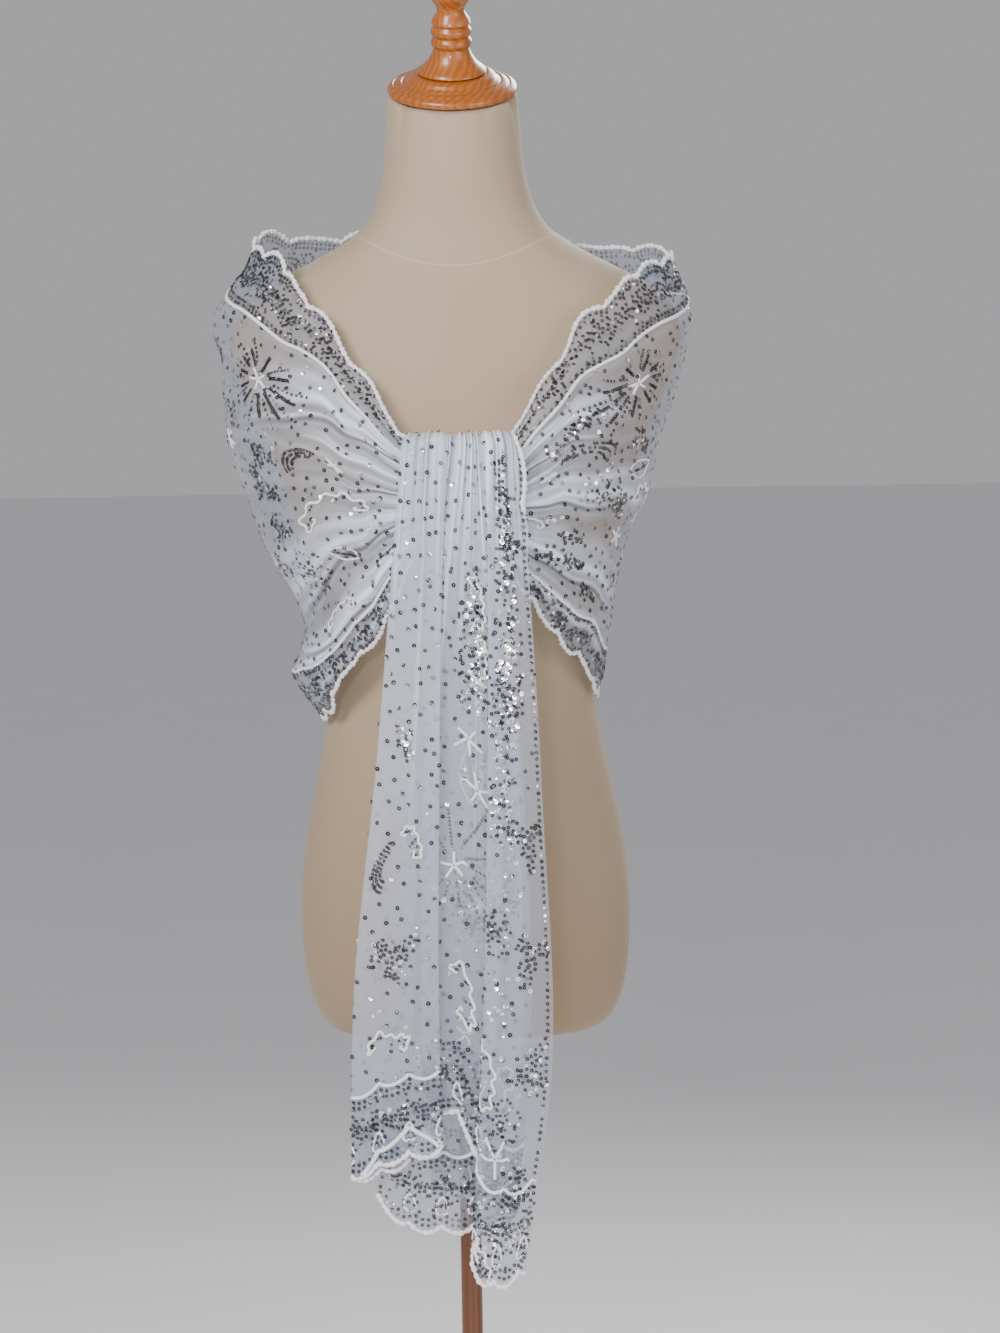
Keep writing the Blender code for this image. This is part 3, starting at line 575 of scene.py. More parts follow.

# Motifs of each stretch, placed in the flat cloth
# columns: kind, mm along, mm down, size in mm, turn in degrees
MOTIFS = {
    "wing_left": (
        ("sunburst", 112, 126, 58, 10),
        ("cluster", 96, 240, 56, 60),
        ("cluster", 112, 206, 42, 15),
        ("cluster", 70, 166, 38, 50),
        ("cluster", 110, 284, 44, 35),
        ("scroll", 178, 262, 80, -25),
        ("glints", 165, 250, 36, 20),
        ("crescent", 150, 196, 24, 230),
        ("blossom", 130, 330, 24, 30),
        ("leaf", 178, 330, 36, 35),
        ("star", 192, 196, 9, 5),
        ("star", 60, 196, 11, 20),
        ("cluster", 88, 318, 40, 20),
        ("scroll", 155, 402, 50, 10),
        ("glints", 85, 330, 40, 80),
        ("cluster", 228, 372, 30, 10),
        ("glints", 128, 180, 30, 50),
        ("cluster", 40, 110, 36, 30),
        ("star", 222, 300, 8, 40),
    ),
    "wing_right": (
        ("sunburst", 160, 124, 60, 170),
        ("crescent", 122, 184, 34, -70),
        ("drift", 96, 150, 60, -30),
        ("leaf", 190, 232, 44, -25),
        ("scroll", 222, 268, 70, 25),
        ("glints", 132, 235, 40, -30),
        ("blossom", 140, 262, 24, 10),
        ("cluster", 118, 318, 36, 0),
        ("cluster", 180, 198, 44, 40),
        ("cluster", 168, 280, 40, 65),
        ("star", 78, 205, 9, 15),
        ("star", 188, 308, 10, 50),
        ("cluster", 96, 372, 40, 5),
        ("cluster", 150, 398, 40, 40),
        ("scroll", 66, 300, 36, 30),
        ("cluster", 124, 356, 44, 15),
        ("cluster", 204, 352, 30, 70),
        ("glints", 95, 300, 36, 10),
    ),
    "back_wrap": (
        ("sunburst", 90, 150, 56, 12),
        ("scroll", 190, 118, 88, -10),
        ("sunburst", 262, 232, 60, 190),
        ("blossom", 172, 198, 28, 0),
        ("crescent", 318, 140, 34, 40),
        ("crescent", 60, 318, 34, 110),
        ("sunburst", 128, 352, 52, 80),
        ("scroll", 96, 246, 74, 70),
        ("scroll", 230, 352, 84, -20),
        ("cluster", 26, 212, 34, 10),
        ("cluster", 190, 292, 34, 20),
        ("leaf", 196, 408, 46, 10),
        ("leaf", 342, 238, 46, -70),
        ("blossom", 318, 392, 28, 15),
        ("star", 142, 252, 11, 0),
        ("star", 232, 152, 11, 25),
        ("star", 52, 408, 11, 25),
        ("star", 300, 318, 11, 50),
        ("glints", 210, 242, 50, 0),
        ("glints", 330, 300, 44, 60),
        ("glints", 120, 210, 44, 40),
    ),
    "front_end": (
        ("spray", 158, 356, 66, -20),
        ("drift", 232, 120, 150, 89),
        ("drift", 224, 215, 120, 91),
        ("drift", 170, 170, 110, 90),
        ("cluster", 226, 36, 40, 90),
        ("cluster", 238, 78, 44, 60),
        ("cluster", 246, 272, 44, 70),
        ("cluster", 246, 346, 46, 95),
        ("cluster", 248, 420, 46, 85),
        ("cluster", 246, 495, 42, 80),
        ("scroll", 174, 142, 40, 80),
        ("scroll", 176, 186, 36, 100),
        ("star", 166, 254, 12, 10),
        ("star", 174, 288, 13, 40),
        ("glints", 172, 200, 70, 85),
        ("glints", 226, 270, 80, 88),
        ("glints", 236, 180, 70, 88),
        ("glints", 222, 380, 60, 92),
        ("glints", 222, 500, 70, 90),
        ("glints", 85, 238, 30, 80),
        ("glints", 86, 516, 30, 10),
        ("cluster", 80, 238, 32, 70),
        ("cluster", 80, 400, 54, 10),
        ("crescent", 60, 330, 18, 190),
        ("scroll", 92, 316, 30, 60),
        ("scroll", 78, 464, 34, 15),
        ("scroll", 168, 455, 44, 80),
        ("scroll", 212, 432, 40, 95),
        ("blossom", 226, 452, 18, 40),
        ("scroll", 222, 560, 50, 85),
        ("blossom", 214, 330, 18, 10),
        ("star", 224, 474, 13, 12),
        ("lip", 86, 553, 58, 0),
    ),
    "rear_end": (
        ("scroll", 40, 440, 50, 60),
        ("scroll", 85, 455, 50, 120),
        ("star", 62, 400, 10, 0),
        ("sunburst", 70, 300, 44, 0),
        ("leaf", 60, 200, 45, 80),
    ),
}

# Which edges of each stretch carry the corded border
BORDERS = {
    "wing_left": ("top", "bottom"),
    "wing_right": ("top", "bottom"),
    "back_wrap": ("top", "bottom"),
    "front_end": ("hem", "right"),
    "rear_end": ("hem",),
}

# Sequins' tones, from 0 dark to 1 bright, or mixed by chance
MIXED_TONE = -1.0
DARK_TONE = 0.3
SILVER_TONE = 0.8
BRIGHT_TONE = 0.97

# Sequins' radii in m
TINY_SEQUIN = 0.0011
FINE_SEQUIN = 0.0013
SMALL_SEQUIN = 0.0014
ROW_SEQUIN = 0.0015
PATCH_SEQUIN = 0.00155
HEART_SEQUIN = 0.0016
RAY_SEQUIN = 0.0017
FIELD_SEQUIN = 0.0018
GLINT_SEQUIN = 0.0019
TIP_SEQUIN = 0.0020
DRIFT_GLINT = 0.0021

# Each sequin: its sides, its chance tilt, its cup as a share of its radius, how far it lies off the
# net in m, and the direction from which its corners are counted
SEQUIN_SIDES = 8
SEQUIN_TILT = 0.20
SEQUIN_CUP = 0.18
SEQUIN_LIFT = (0.0005, 0.0010)
SEQUIN_TURN_FROM = (0.31, 0.17, 0.93)

# Cords of the ornament
# columns: width in m, height in m
STAR_CORD = (0.0025, 0.0015)
LIP_CORD = (0.0036, 0.0024)
LEAF_CORD = (0.0017, 0.0011)
SCROLL_CORD = (0.0024, 0.0015)
OVAL_CORD = (0.0020, 0.0012)

# How all cords are made: the seam's height, sides, steps and lift, then the flatness and the knobbles
# of the scalloped edges' cord, and how far it shows down the front end's side
SEAM_CORD_HEIGHT = 0.0017
CORD_SIDES = 6
CORD_STEP = 0.0020
CORD_LIFT = 0.42
EDGE_STEP = 0.0013
EDGE_FLATNESS = 0.72
EDGE_KNOBBLE = 0.28
KNOBBLE_PITCHES = (0.0052, 0.0131)
SIDE_CORD_LENGTH = 0.078

# The border band: its rows in from the outer edge and out from the seam, the arcs of each shell,
# and the rings and ovals between the shells
BORDER_ROWS = (0.0058, 0.0104)
SEAM_ROWS = (0.0078, 0.0038)
SIDE_ROW = 0.0048
SHELL_ARCS = (0.36, 0.66, 0.96)
SHELL_FOOT = 0.66
BORDER_RING = (0.0050, 7)
RING_INSETS = (0.36, 0.60)
OVAL_SIZE = (0.0044, 0.0068)
OVAL_INSET = 0.28
LOOSE_PITCH = 0.0096
SEAM_STEP = 0.003
HEM_SEAM_BREAK = (0.118, 0.205)
SIDE_BORDER_SHARE = 0.45
# Painted shade over the border's net, and how it fades at the border's inner edge
BORDER_PAINTED_SHADE = 0.34
BORDER_FADE = 0.05

# Where the cloth is drawn together: the share of its flat width under which cords sink out of sight,
# and how the share of sequins that show goes with it, down to the least
CORD_FULLNESS = 0.20
SEQUIN_FULLNESS = 1.3
LEAST_SEQUINS = 0.10


class Pattern:
    """Flat ornament for one stretch: sequins and corded lines, in metres along and down."""

    def __init__(self, stretch, seed):
        self.stretch = stretch
        self.random = np.random.default_rng(seed)
        self.sequins = []
        self.lines = []

    def sew(self, places, radius, tone=MIXED_TONE):
        """Sews sequins of one size at each place, all of one tone from 0 dark to 1 bright, or mixed."""
        places = np.atleast_2d(places)
        count = len(places)
        self.sequins.append(np.column_stack([places, np.full(count, radius), np.full(count, tone)]))

    def cord(self, places, size):
        """Couches a white cord of a width and height along a line of places."""
        self.lines.append((np.asarray(places, float), *size))


def turned(places, centre, turn):
    """Turns flat places by degrees and moves them to a centre."""
    c, s = math.cos(math.radians(turn)), math.sin(math.radians(turn))
    return places @ np.array([[c, s], [-s, c]]) + np.array(centre)


def ring(radius, count, phase=0.0):
    """Evenly spaced places on a circle."""
    angle = 2 * np.pi * (np.arange(count) + phase) / count
    return radius * np.column_stack([np.cos(angle), np.sin(angle)])


def ray(angle, steps):
    """Places along a ray from the centre, at an angle in radians."""
    return np.column_stack([steps * math.cos(angle), steps * math.sin(angle)])


def star(pattern, centre, size, turn):
    """A corded five-armed star."""
    for arm in ring(size, 5):
        pattern.cord(turned(np.array([arm * 0.06, arm]), centre, turn), STAR_CORD)


def sunburst(pattern, centre, size, turn):
    """Close-set and dotted rays of sequins by turns, longer to one side, round a corded star."""
    rays = 20
    for k in range(rays):
        angle = 2 * math.pi * (k + pattern.random.uniform(-0.2, 0.2)) / rays
        reach = size * (0.78 + 0.22 * math.cos(angle))
        if k % 2:
            steps, radius, tone = np.arange(size * 0.34, reach, 0.0048), SMALL_SEQUIN, MIXED_TONE
        else:
            steps, radius, tone = np.arange(size * 0.26, reach * 0.74, 0.0023), RAY_SEQUIN, DARK_TONE
        pattern.sew(turned(ray(angle, steps), centre, turn), radius, tone)
    star(pattern, centre, size * 0.19, turn + 18)


def spray(pattern, centre, size, turn):
    """Dotted rays that open to one side, each ending in a bright sequin, round a corded star."""
    for k in range(13):
        angle = math.radians(-150 + 25 * k) + pattern.random.uniform(-0.06, 0.06)
        reach = size * (0.62 + 0.38 * math.cos(angle)) * pattern.random.uniform(0.85, 1.1)
        steps = np.arange(size * 0.22, reach, 0.0031)
        pattern.sew(turned(ray(angle, steps), centre, turn), TINY_SEQUIN, SILVER_TONE)
        tip = ray(angle, np.array([reach + 0.003]))
        pattern.sew(turned(tip, centre, turn), TIP_SEQUIN, BRIGHT_TONE)
    star(pattern, centre, size * 0.17, turn)


def drift(pattern, centre, size, turn):
    """A long, loose trail of sequins of all tones, closer along its middle."""
    spots = pattern.random.uniform(-0.5, 0.5, (int(size * 1100), 2))
    spots = spots * (size, 0) + pattern.random.normal(0, 0.0095, spots.shape) * (0, 1)
    pattern.sew(turned(spots, centre, turn), ROW_SEQUIN)
    bright = pattern.random.uniform(-0.5, 0.5, (int(size * 300), 2)) * (size, 0.022)
    pattern.sew(turned(bright, centre, turn), DRIFT_GLINT, BRIGHT_TONE)


def cluster(pattern, centre, size, turn):
    """A close patch of sequins laid side by side with ragged edges, dark but for a few."""
    steps = np.arange(-size / 2, size / 2, 0.0038)
    spots = np.stack(np.meshgrid(steps, steps), axis=2).reshape(-1, 2)
    bearing = np.arctan2(spots[:, 1], spots[:, 0])
    edge = size * (0.33 + 0.13 * np.sin(3 * bearing + turn) + 0.05 * np.sin(7 * bearing))
    spots = spots[np.hypot(spots[:, 0], spots[:, 1] * 1.3) < edge]
    spots = spots + pattern.random.normal(0, 0.0007, spots.shape)
    bright = pattern.random.uniform(0, 1, len(spots)) > 0.86
    pattern.sew(turned(spots[~bright], centre, turn), PATCH_SEQUIN, DARK_TONE)
    pattern.sew(turned(spots[bright], centre, turn), GLINT_SEQUIN, BRIGHT_TONE)


def lip(pattern, centre, size, turn):
    """The corded edge of a hem that is turned up on itself, as an uneven arch."""
    share = np.linspace(0, 1, 24)
    arch = np.column_stack([(share - 0.5) * size, -0.30 * size * np.sin(np.pi * share**1.7) ** 0.7])
    pattern.cord(turned(arch, centre, turn), LIP_CORD)


def glints(pattern, centre, size, turn):
    """A drift of large bright sequins."""
    spots = pattern.random.uniform(-0.5, 0.5, (int(size * 230), 2)) * (size, size * 0.28)
    pattern.sew(turned(spots, centre, turn), GLINT_SEQUIN, BRIGHT_TONE)


def crescent(pattern, centre, size, turn):
    """Nested arcs of dark sequins."""
    for share in (0.62, 0.81, 1.0):
        angle = np.linspace(-1.2, 1.2, int(size * share * 2.4 / 0.0026)) * (0.6 + 0.4 * share)
        arc = size * share * np.column_stack([np.cos(angle), np.sin(angle)])
        pattern.sew(turned(arc - (size * 0.8, 0), centre, turn), SMALL_SEQUIN, DARK_TONE)


def blossom(pattern, centre, size, turn):
    """A flower of sequin rings with a close-set middle."""
    petals = 6
    for k in range(petals):
        angle = 2 * math.pi * k / petals
        middle = np.array([math.cos(angle), math.sin(angle)]) * size * 0.62
        pattern.sew(turned(ring(size * 0.30, 8, k / petals) + middle, centre, turn), FINE_SEQUIN)
    pattern.sew(turned(ring(size * 0.13, 5), centre, turn), ROW_SEQUIN, DARK_TONE)
    pattern.sew(np.array(centre), HEART_SEQUIN, BRIGHT_TONE)


def leaf(pattern, centre, size, turn):
    """A corded leaf with a sequin vein."""
    share = np.linspace(0, 1, 14)
    bow = 0.22 * size * np.sin(np.pi * share) ** 0.8
    spine = (share - 0.5) * size
    outline = np.vstack([np.column_stack([spine, bow]), np.column_stack([spine[::-1], -bow[::-1]])])
    pattern.cord(turned(outline, centre, turn), LEAF_CORD)
    vein = np.arange(-0.36, 0.4, 0.06)[:, None] * np.array([size, 0.0])
    pattern.sew(turned(vein, centre, turn), FINE_SEQUIN, DARK_TONE)


def scroll(pattern, centre, size, turn):
    """A wavering S of cord that curls in at both ends, with sequins beside it."""
    t = np.linspace(-1, 1, 130)
    heading = 6.0 * t * np.abs(t) ** 1.3 + 0.85 * np.sin(t * 27)
    step = np.column_stack([np.cos(heading), np.sin(heading)]) * (1.15 - 0.6 * t[:, None] ** 2)
    path = np.cumsum(step, axis=0)
    path = (path - path.mean(axis=0)) * size / np.ptp(path[:, 0])
    pattern.cord(turned(path, centre, turn), SCROLL_CORD)
    beside = path[8:-8:9] + np.column_stack([-step[8:-8:9, 1], step[8:-8:9, 0]]) * 0.0042
    pattern.sew(turned(beside, centre, turn), FINE_SEQUIN)


MOTIF_MAKERS = {
    "sunburst": sunburst,
    "cluster": cluster,
    "spray": spray,
    "drift": drift,
    "lip": lip,
    "glints": glints,
    "crescent": crescent,
    "blossom": blossom,
    "leaf": leaf,
    "scroll": scroll,
    "star": star,
}


def edge_places(stretch, edge, run, inset):
    """Places in the cloth from places along a border's edge and in from it."""
    run, inset = np.broadcast_arrays(run, inset)
    if edge == "right":
        return np.column_stack([stretch.along[-1] - inset, run])
    return np.column_stack([run, inset if edge == "top" else stretch.down[-1] - inset])


def insets(stretch, edge, along, down):
    """How far in from an edge places in the cloth are."""
    if edge == "right":
        return stretch.along[-1] - along
    return down if edge == "top" else stretch.down[-1] - down


def border_width(edge):
    """How deep the border lies along an edge; down the front end's side it is partly turned under."""
    return settings().border_width * (SIDE_BORDER_SHARE if edge == "right" else 1)


def border(pattern, edge):
    """The border band: rows along the scallops, a shell of arcs in each, small rings, a corded seam."""
    sizes = settings()
    stretch = pattern.stretch
    length = stretch.down[-1] if edge == "right" else stretch.along[-1]
    pitch = HEM_SCALLOP_PITCH if edge == "hem" else length / round(length / sizes.scallop_pitch)
    width = border_width(edge)

    def sew(run, inset, radius=ROW_SEQUIN, tone=MIXED_TONE):
        """Sews sequins at places along the edge and in from it."""
        pattern.sew(edge_places(stretch, edge, run, inset), radius, tone)

    run = np.arange(0.002, length - 0.002, sizes.sequin_pitch)
    if edge == "right":
        sew(run, SIDE_ROW)
        return
    for inset in (*BORDER_ROWS, *(width - row for row in SEAM_ROWS)):
        sew(run, inset)
    small, loop = ring(*BORDER_RING), ring(1.0, 17)
    for middle in np.arange(pitch / 2, length, pitch):
        for share in SHELL_ARCS:
            reach = min(width * 0.44, pitch * 0.46) * share
            angle = np.linspace(-1.3, 1.3, int(reach * 2.6 / sizes.sequin_pitch) + 2)
            sew(middle + reach * np.sin(angle), width * SHELL_FOOT - reach * np.cos(angle))
        between = middle + pitch / 2
        for inset in RING_INSETS:
            sew(between + small[:, 0], width * inset + small[:, 1], tone=DARK_TONE)
        if edge == "hem":
            across = between + loop[:, 0] * OVAL_SIZE[0]
            inset = width * OVAL_INSET + loop[:, 1] * OVAL_SIZE[1]
            pattern.cord(edge_places(stretch, edge, across, inset), OVAL_CORD)
    count = int(length * width / LOOSE_PITCH**2)
    loose = pattern.random.uniform((0, 0.012), (length, width - 0.008), (count, 2))
    sew(loose[:, 0], loose[:, 1], SMALL_SEQUIN)
    seam = np.linspace(0, length, int(length / SEAM_STEP))
    breaks = HEM_SEAM_BREAK if edge == "hem" else (length, length)
    for part in (seam[seam <= breaks[0]], seam[seam > breaks[1]]):
        if len(part) > 2:
            pattern.cord(edge_places(stretch, edge, part, width), (sizes.cord_width, SEAM_CORD_HEIGHT))


def field_sequins(pattern, edges):
    """Single sequins scattered over the net inside its borders, in a loose brick layout."""
    pitch = settings().field_pitch
    stretch = pattern.stretch
    for number, down in enumerate(np.arange(pitch / 2, stretch.down[-1], pitch * 0.87)):
        along = np.arange(pitch * (0.25 + 0.5 * (number % 2)), stretch.along[-1], pitch)
        places = np.column_stack([along, np.full_like(along, down)])
        places += pattern.random.uniform(-0.3, 0.3, places.shape) * pitch
        clear = [insets(stretch, edge, *places.T) > border_width(edge) for edge in edges]
        pattern.sew(places[np.all(clear, axis=0)], FIELD_SEQUIN)


def ornament(name):
    """The whole flat ornament of one stretch."""
    pattern = Pattern(STRETCHES[name], seed=len(name) * 7 + ord(name[-1]))
    for edge in BORDERS[name]:
        border(pattern, edge)
    for kind, along, down, size, turn in MOTIFS[name]:
        MOTIF_MAKERS[kind](pattern, (along / 1000, down / 1000), size / 1000, turn)
    field_sequins(pattern, BORDERS[name])
    return pattern


def select_nothing():
    """Deselects every object."""
    for other in bpy.context.selected_objects:
        other.select_set(False)


def select_only(made):
    """Selects one object alone and makes it active."""
    select_nothing()
    made.select_set(True)
    bpy.context.view_layer.objects.active = made


def face_outwards(made):
    """Turns every face of a closed piece outwards."""
    select_only(made)
    bpy.ops.object.mode_set(mode="EDIT")
    bpy.ops.mesh.select_all(action="SELECT")
    bpy.ops.mesh.normals_make_consistent(inside=False)
    bpy.ops.object.mode_set(mode="OBJECT")


def link(name, vertices, faces, finish):
    """Makes a smooth mesh object in the scene from points and faces."""
    mesh = bpy.data.meshes.new(name)
    mesh.from_pydata([tuple(v) for v in vertices], [], [tuple(f) for f in faces])
    mesh.update()
    mesh.shade_smooth()
    mesh.materials.append(finish)
    made = bpy.data.objects.new(name, mesh)
    bpy.context.scene.collection.objects.link(made)
    return made


def give_uv(mesh, per_vertex):
    """Writes a UV map from one (u, v) for each vertex."""
    layer = mesh.uv_layers.new(name="cloth")
    corners = np.empty(len(mesh.loops), dtype=np.int32)
    mesh.loops.foreach_get("vertex_index", corners)
    layer.data.foreach_set("uv", np.asarray(per_vertex, np.float32)[corners].ravel())


def give_values(mesh, label, values):
    """Writes one number for each vertex, which the piece's finish reads."""
    layer = mesh.attributes.new(label, "FLOAT", "POINT")
    layer.data.foreach_set("value", values.ravel().astype(np.float32))


def border_share(stretch, edges):
    """1 where the border's net gets painted shade and closer cover, and 0 inside it."""
    along, down = np.meshgrid(stretch.along, stretch.down)
    fade = BORDER_FADE * settings().border_width
    shares = []
    for edge in edges:
        width = border_width(edge)
        shares.append(1 - ramp(insets(stretch, edge, along, down), width - fade, width))
    return np.max(shares, axis=0)


def net_sheet(name, stretch, edges, finish):
    """The net of one stretch, with its flat places as its UV map."""
    rows, columns = stretch.points.shape[:2]
    number = np.arange(rows * columns).reshape(rows, columns)
    corners = (number[:-1, :-1], number[1:, :-1], number[1:, 1:], number[:-1, 1:])
    faces = np.stack(corners, axis=2).reshape(-1, 4)
    made = link(name, stretch.points.reshape(-1, 3), faces.tolist(), finish)
    along, down = np.meshgrid(stretch.along, stretch.down)
    give_uv(made.data, np.column_stack([along.ravel(), down.ravel()]))
    give_values(made.data, "gather_and_highlight", stretch.gather_and_highlight)
    # Painted shadow in the folds and painted shade over the border's net
    give_values(made.data, "dark", np.maximum(stretch.dark, BORDER_PAINTED_SHADE * border_share(stretch, edges)))
    return made


def unit(vectors):
    """Vectors made one long, and left as they are where they have no length."""
    return vectors / np.maximum(np.linalg.norm(vectors, axis=1, keepdims=True), 1e-9)


def cord_parts(points, normals, width, height, lift, knobble=0.0):
    """Vertices, faces and UV of one oval cord along a line, its flat side on the cloth."""
    side = unit(np.cross(unit(np.gradient(points, axis=0)), normals))
    run = run_along(points)
    close, wide = (run * 2 * np.pi / pitch for pitch in KNOBBLE_PITCHES)
    girth = (1 + knobble * (np.sin(close) + 0.6 * np.sin(wide)))[:, None]
    angle = 2 * np.pi * np.arange(CORD_SIDES) / CORD_SIDES
    middle = points + normals * lift
    outer = [side * width / 2 * math.cos(a) + normals * height / 2 * math.sin(a) for a in angle]
    vertices = np.concatenate([middle + girth * out for out in outer])
    count = len(points)
    faces = []
    here = np.arange(count - 1)
    for k in range(CORD_SIDES):
        this, other = here + k * count, here + (k + 1) % CORD_SIDES * count
        faces += np.column_stack([this, other, other + 1, this + 1]).tolist()
    faces.append([k * count for k in range(CORD_SIDES)])
    faces.append([k * count + count - 1 for k in range(CORD_SIDES)][::-1])
    round_cord = np.repeat(angle / (2 * np.pi) * width * 2, count)
    return vertices, faces, np.column_stack([np.tile(run, CORD_SIDES), round_cord])


def cord_mesh(name, parts, finish):
    """Joins many cords into one mesh."""
    vertices, faces, uvs, offset = [], [], [], 0
    for part_vertices, part_faces, part_uv in parts:
        vertices.append(part_vertices)
        faces += [[i + offset for i in face] for face in part_faces]
        uvs.append(part_uv)
        offset += len(part_vertices)
    made = link(name, np.concatenate(vertices), faces, finish)
    give_uv(made.data, np.concatenate(uvs))
    face_outwards(made)
    return made


def read_along(at, run, values):
    """Reads a line's values, column by column, at distances along it."""
    return np.column_stack([np.interp(at, run, column) for column in values.T])


def refined(line, step):
    """A flat line with points no further apart than a step."""
    run = run_along(line)
    count = max(2, int(run[-1] / step) + 1)
    return read_along(np.linspace(0, run[-1], count), run, line)


def white_cords(name, finish):
    """All corded lines of one stretch: ornament, seams and the knobbly scalloped edges."""
    stretch = STRETCHES[name]
    edge_width = settings().edge_width
    parts = []
    for line, width, height in ornament(name).lines:
        line = refined(line, CORD_STEP)
        kept = stretch.holds(line) & (stretch.spread_at(line) > CORD_FULLNESS)
        for piece in np.split(np.arange(len(line)), np.flatnonzero(np.diff(kept.astype(int))) + 1):
            if len(piece) < 3 or not kept[piece[0]]:
                continue
            points, normals = stretch.at(line[piece])
            parts.append(cord_parts(points, normals, width, height, height * CORD_LIFT))
    for edge in BORDERS[name]:
        place = {"top": 0, "right": (slice(None), -1)}.get(edge, -1)
        points, normals = stretch.points[place], stretch.normals[place]
        run = run_along(points)
        end = SIDE_CORD_LENGTH if edge == "right" else run[-1]
        at = np.linspace(0, end, int(end / EDGE_STEP))
        fine, facing = read_along(at, run, points), read_along(at, run, normals)
        parts.append(cord_parts(fine, facing, edge_width, edge_width * EDGE_FLATNESS, 0.0, EDGE_KNOBBLE))
    return cord_mesh(name + "_cords", parts, finish)


def sequins(name, finish):
    """The sequins of one stretch: small cupped rounds, each sewn at its own slight tilt."""
    stretch = STRETCHES[name]
    random = np.random.default_rng(len(name))
    rows = np.concatenate(ornament(name).sequins)
    rows = rows[stretch.holds(rows[:, :2], ROW_SEQUIN)]
    spread = stretch.spread_at(rows[:, :2])
    rows = rows[random.uniform(0, 1, len(rows)) < np.clip(spread * SEQUIN_FULLNESS, LEAST_SEQUINS, 1)]
    count = len(rows)
    points, normals = stretch.at(rows[:, :2])
    facing = unit(normals + random.normal(0, SEQUIN_TILT, points.shape))
    first = unit(np.cross(facing, np.array(SEQUIN_TURN_FROM)))
    second = np.cross(facing, first)
    centre = points + normals * random.uniform(*SEQUIN_LIFT, (count, 1))
    radius = rows[:, 2:3] * random.uniform(0.9, 1.1, (count, 1)) * settings().sequin_size
    angle = 2 * np.pi * np.arange(SEQUIN_SIDES) / SEQUIN_SIDES
    cup = centre + facing * radius * SEQUIN_CUP
    rim = [cup + radius * (first * math.cos(a) + second * math.sin(a)) for a in angle]
    vertices = np.stack([centre, *rim], axis=1).reshape(-1, 3)
    fan = [(0, 1 + k, 1 + (k + 1) % SEQUIN_SIDES) for k in range(SEQUIN_SIDES)]
    faces = (np.arange(count)[:, None, None] * (SEQUIN_SIDES + 1) + np.array(fan)[None]).reshape(-1, 3)
    made = link(name + "_sequins", vertices, faces.tolist(), finish)
    tones = np.where(rows[:, 3] >= 0, rows[:, 3], random.uniform(0, 1, count))
    give_values(made.data, "tone", np.repeat(tones, SEQUIN_SIDES + 1))
    give_values(made.data, "rim", np.tile([0] + [1] * SEQUIN_SIDES, count))
    return made


# The knot's core inside its solid's box: shares of its half length and half depth, and its pleats
# columns of the pleats: height as a share of the girth, pleats round it, phase in radians
KNOT_LENGTH_SHARE = 0.98
KNOT_GIRTH_SHARE = 0.93
CORE_PLEATS = ((0.05, 7, 0), (0.02, 19, 1))


def knot_core(finish):
    """The knot's bundled cloth, pleated round its middle."""
    low, high = (np.array(corner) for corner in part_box("knot_core"))
    centre, half = (low + high) / 2, (high - low) / 2
    across = np.linspace(0.02, math.pi - 0.02, 36)
    turn = np.linspace(0, 2 * math.pi, 97)[:-1]
    swell = 1
    for height, pleats, phase in CORE_PLEATS:
        swell = swell + height * np.cos(pleats * turn + phase)
    girth = np.sin(across)[:, None] ** 0.8
    x = centre[0] - KNOT_LENGTH_SHARE * half[0] * np.cos(across)[:, None]
    x = np.repeat(x, len(turn), axis=1)
    y = centre[1] + half[1] * KNOT_GIRTH_SHARE * girth * np.sin(turn)
    z = centre[2] + half[2] * KNOT_GIRTH_SHARE * girth * np.cos(turn) * swell
    rows, columns = x.shape
    number = np.arange(rows * columns).reshape(rows, columns)
    wrapped = np.roll(number, -1, axis=1)
    faces = np.stack([number[:-1], wrapped[:-1], wrapped[1:], number[1:]], axis=2)
    faces = faces.reshape(-1, 4).tolist()
    faces += [number[0][::-1].tolist(), number[-1].tolist()]
    made = link("knot_core_net", np.stack([x, y, z], axis=2).reshape(-1, 3), faces, finish)
    give_uv(made.data, np.column_stack([x.ravel(), (z + y).ravel()]))
    face_outwards(made)
    return made


# How the form's triangles are merged into four-sided faces before they are rounded
WELD_DISTANCE = 0.00005
QUAD_ANGLE = math.radians(60)


def dress_form(finish):
    """The form's smooth cover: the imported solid's copy, merged and subdivided."""
    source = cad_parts["dress_form"]
    made = bpy.data.objects.new("dress_form_cover", source.data.copy())
    bpy.context.scene.collection.objects.link(made)
    made.data.materials.clear()
    made.data.materials.append(finish)
    select_only(made)
    bpy.ops.object.mode_set(mode="EDIT")
    bpy.ops.mesh.select_all(action="SELECT")
    bpy.ops.mesh.remove_doubles(threshold=WELD_DISTANCE)
    bpy.ops.mesh.tris_convert_to_quads(face_threshold=QUAD_ANGLE, shape_threshold=QUAD_ANGLE)
    bpy.ops.object.mode_set(mode="OBJECT")
    rounded = made.modifiers.new("rounded", "SUBSURF")
    rounded.levels = rounded.render_levels = 2
    bpy.ops.object.modifier_apply(modifier=rounded.name)
    bpy.ops.object.shade_smooth()
    return made


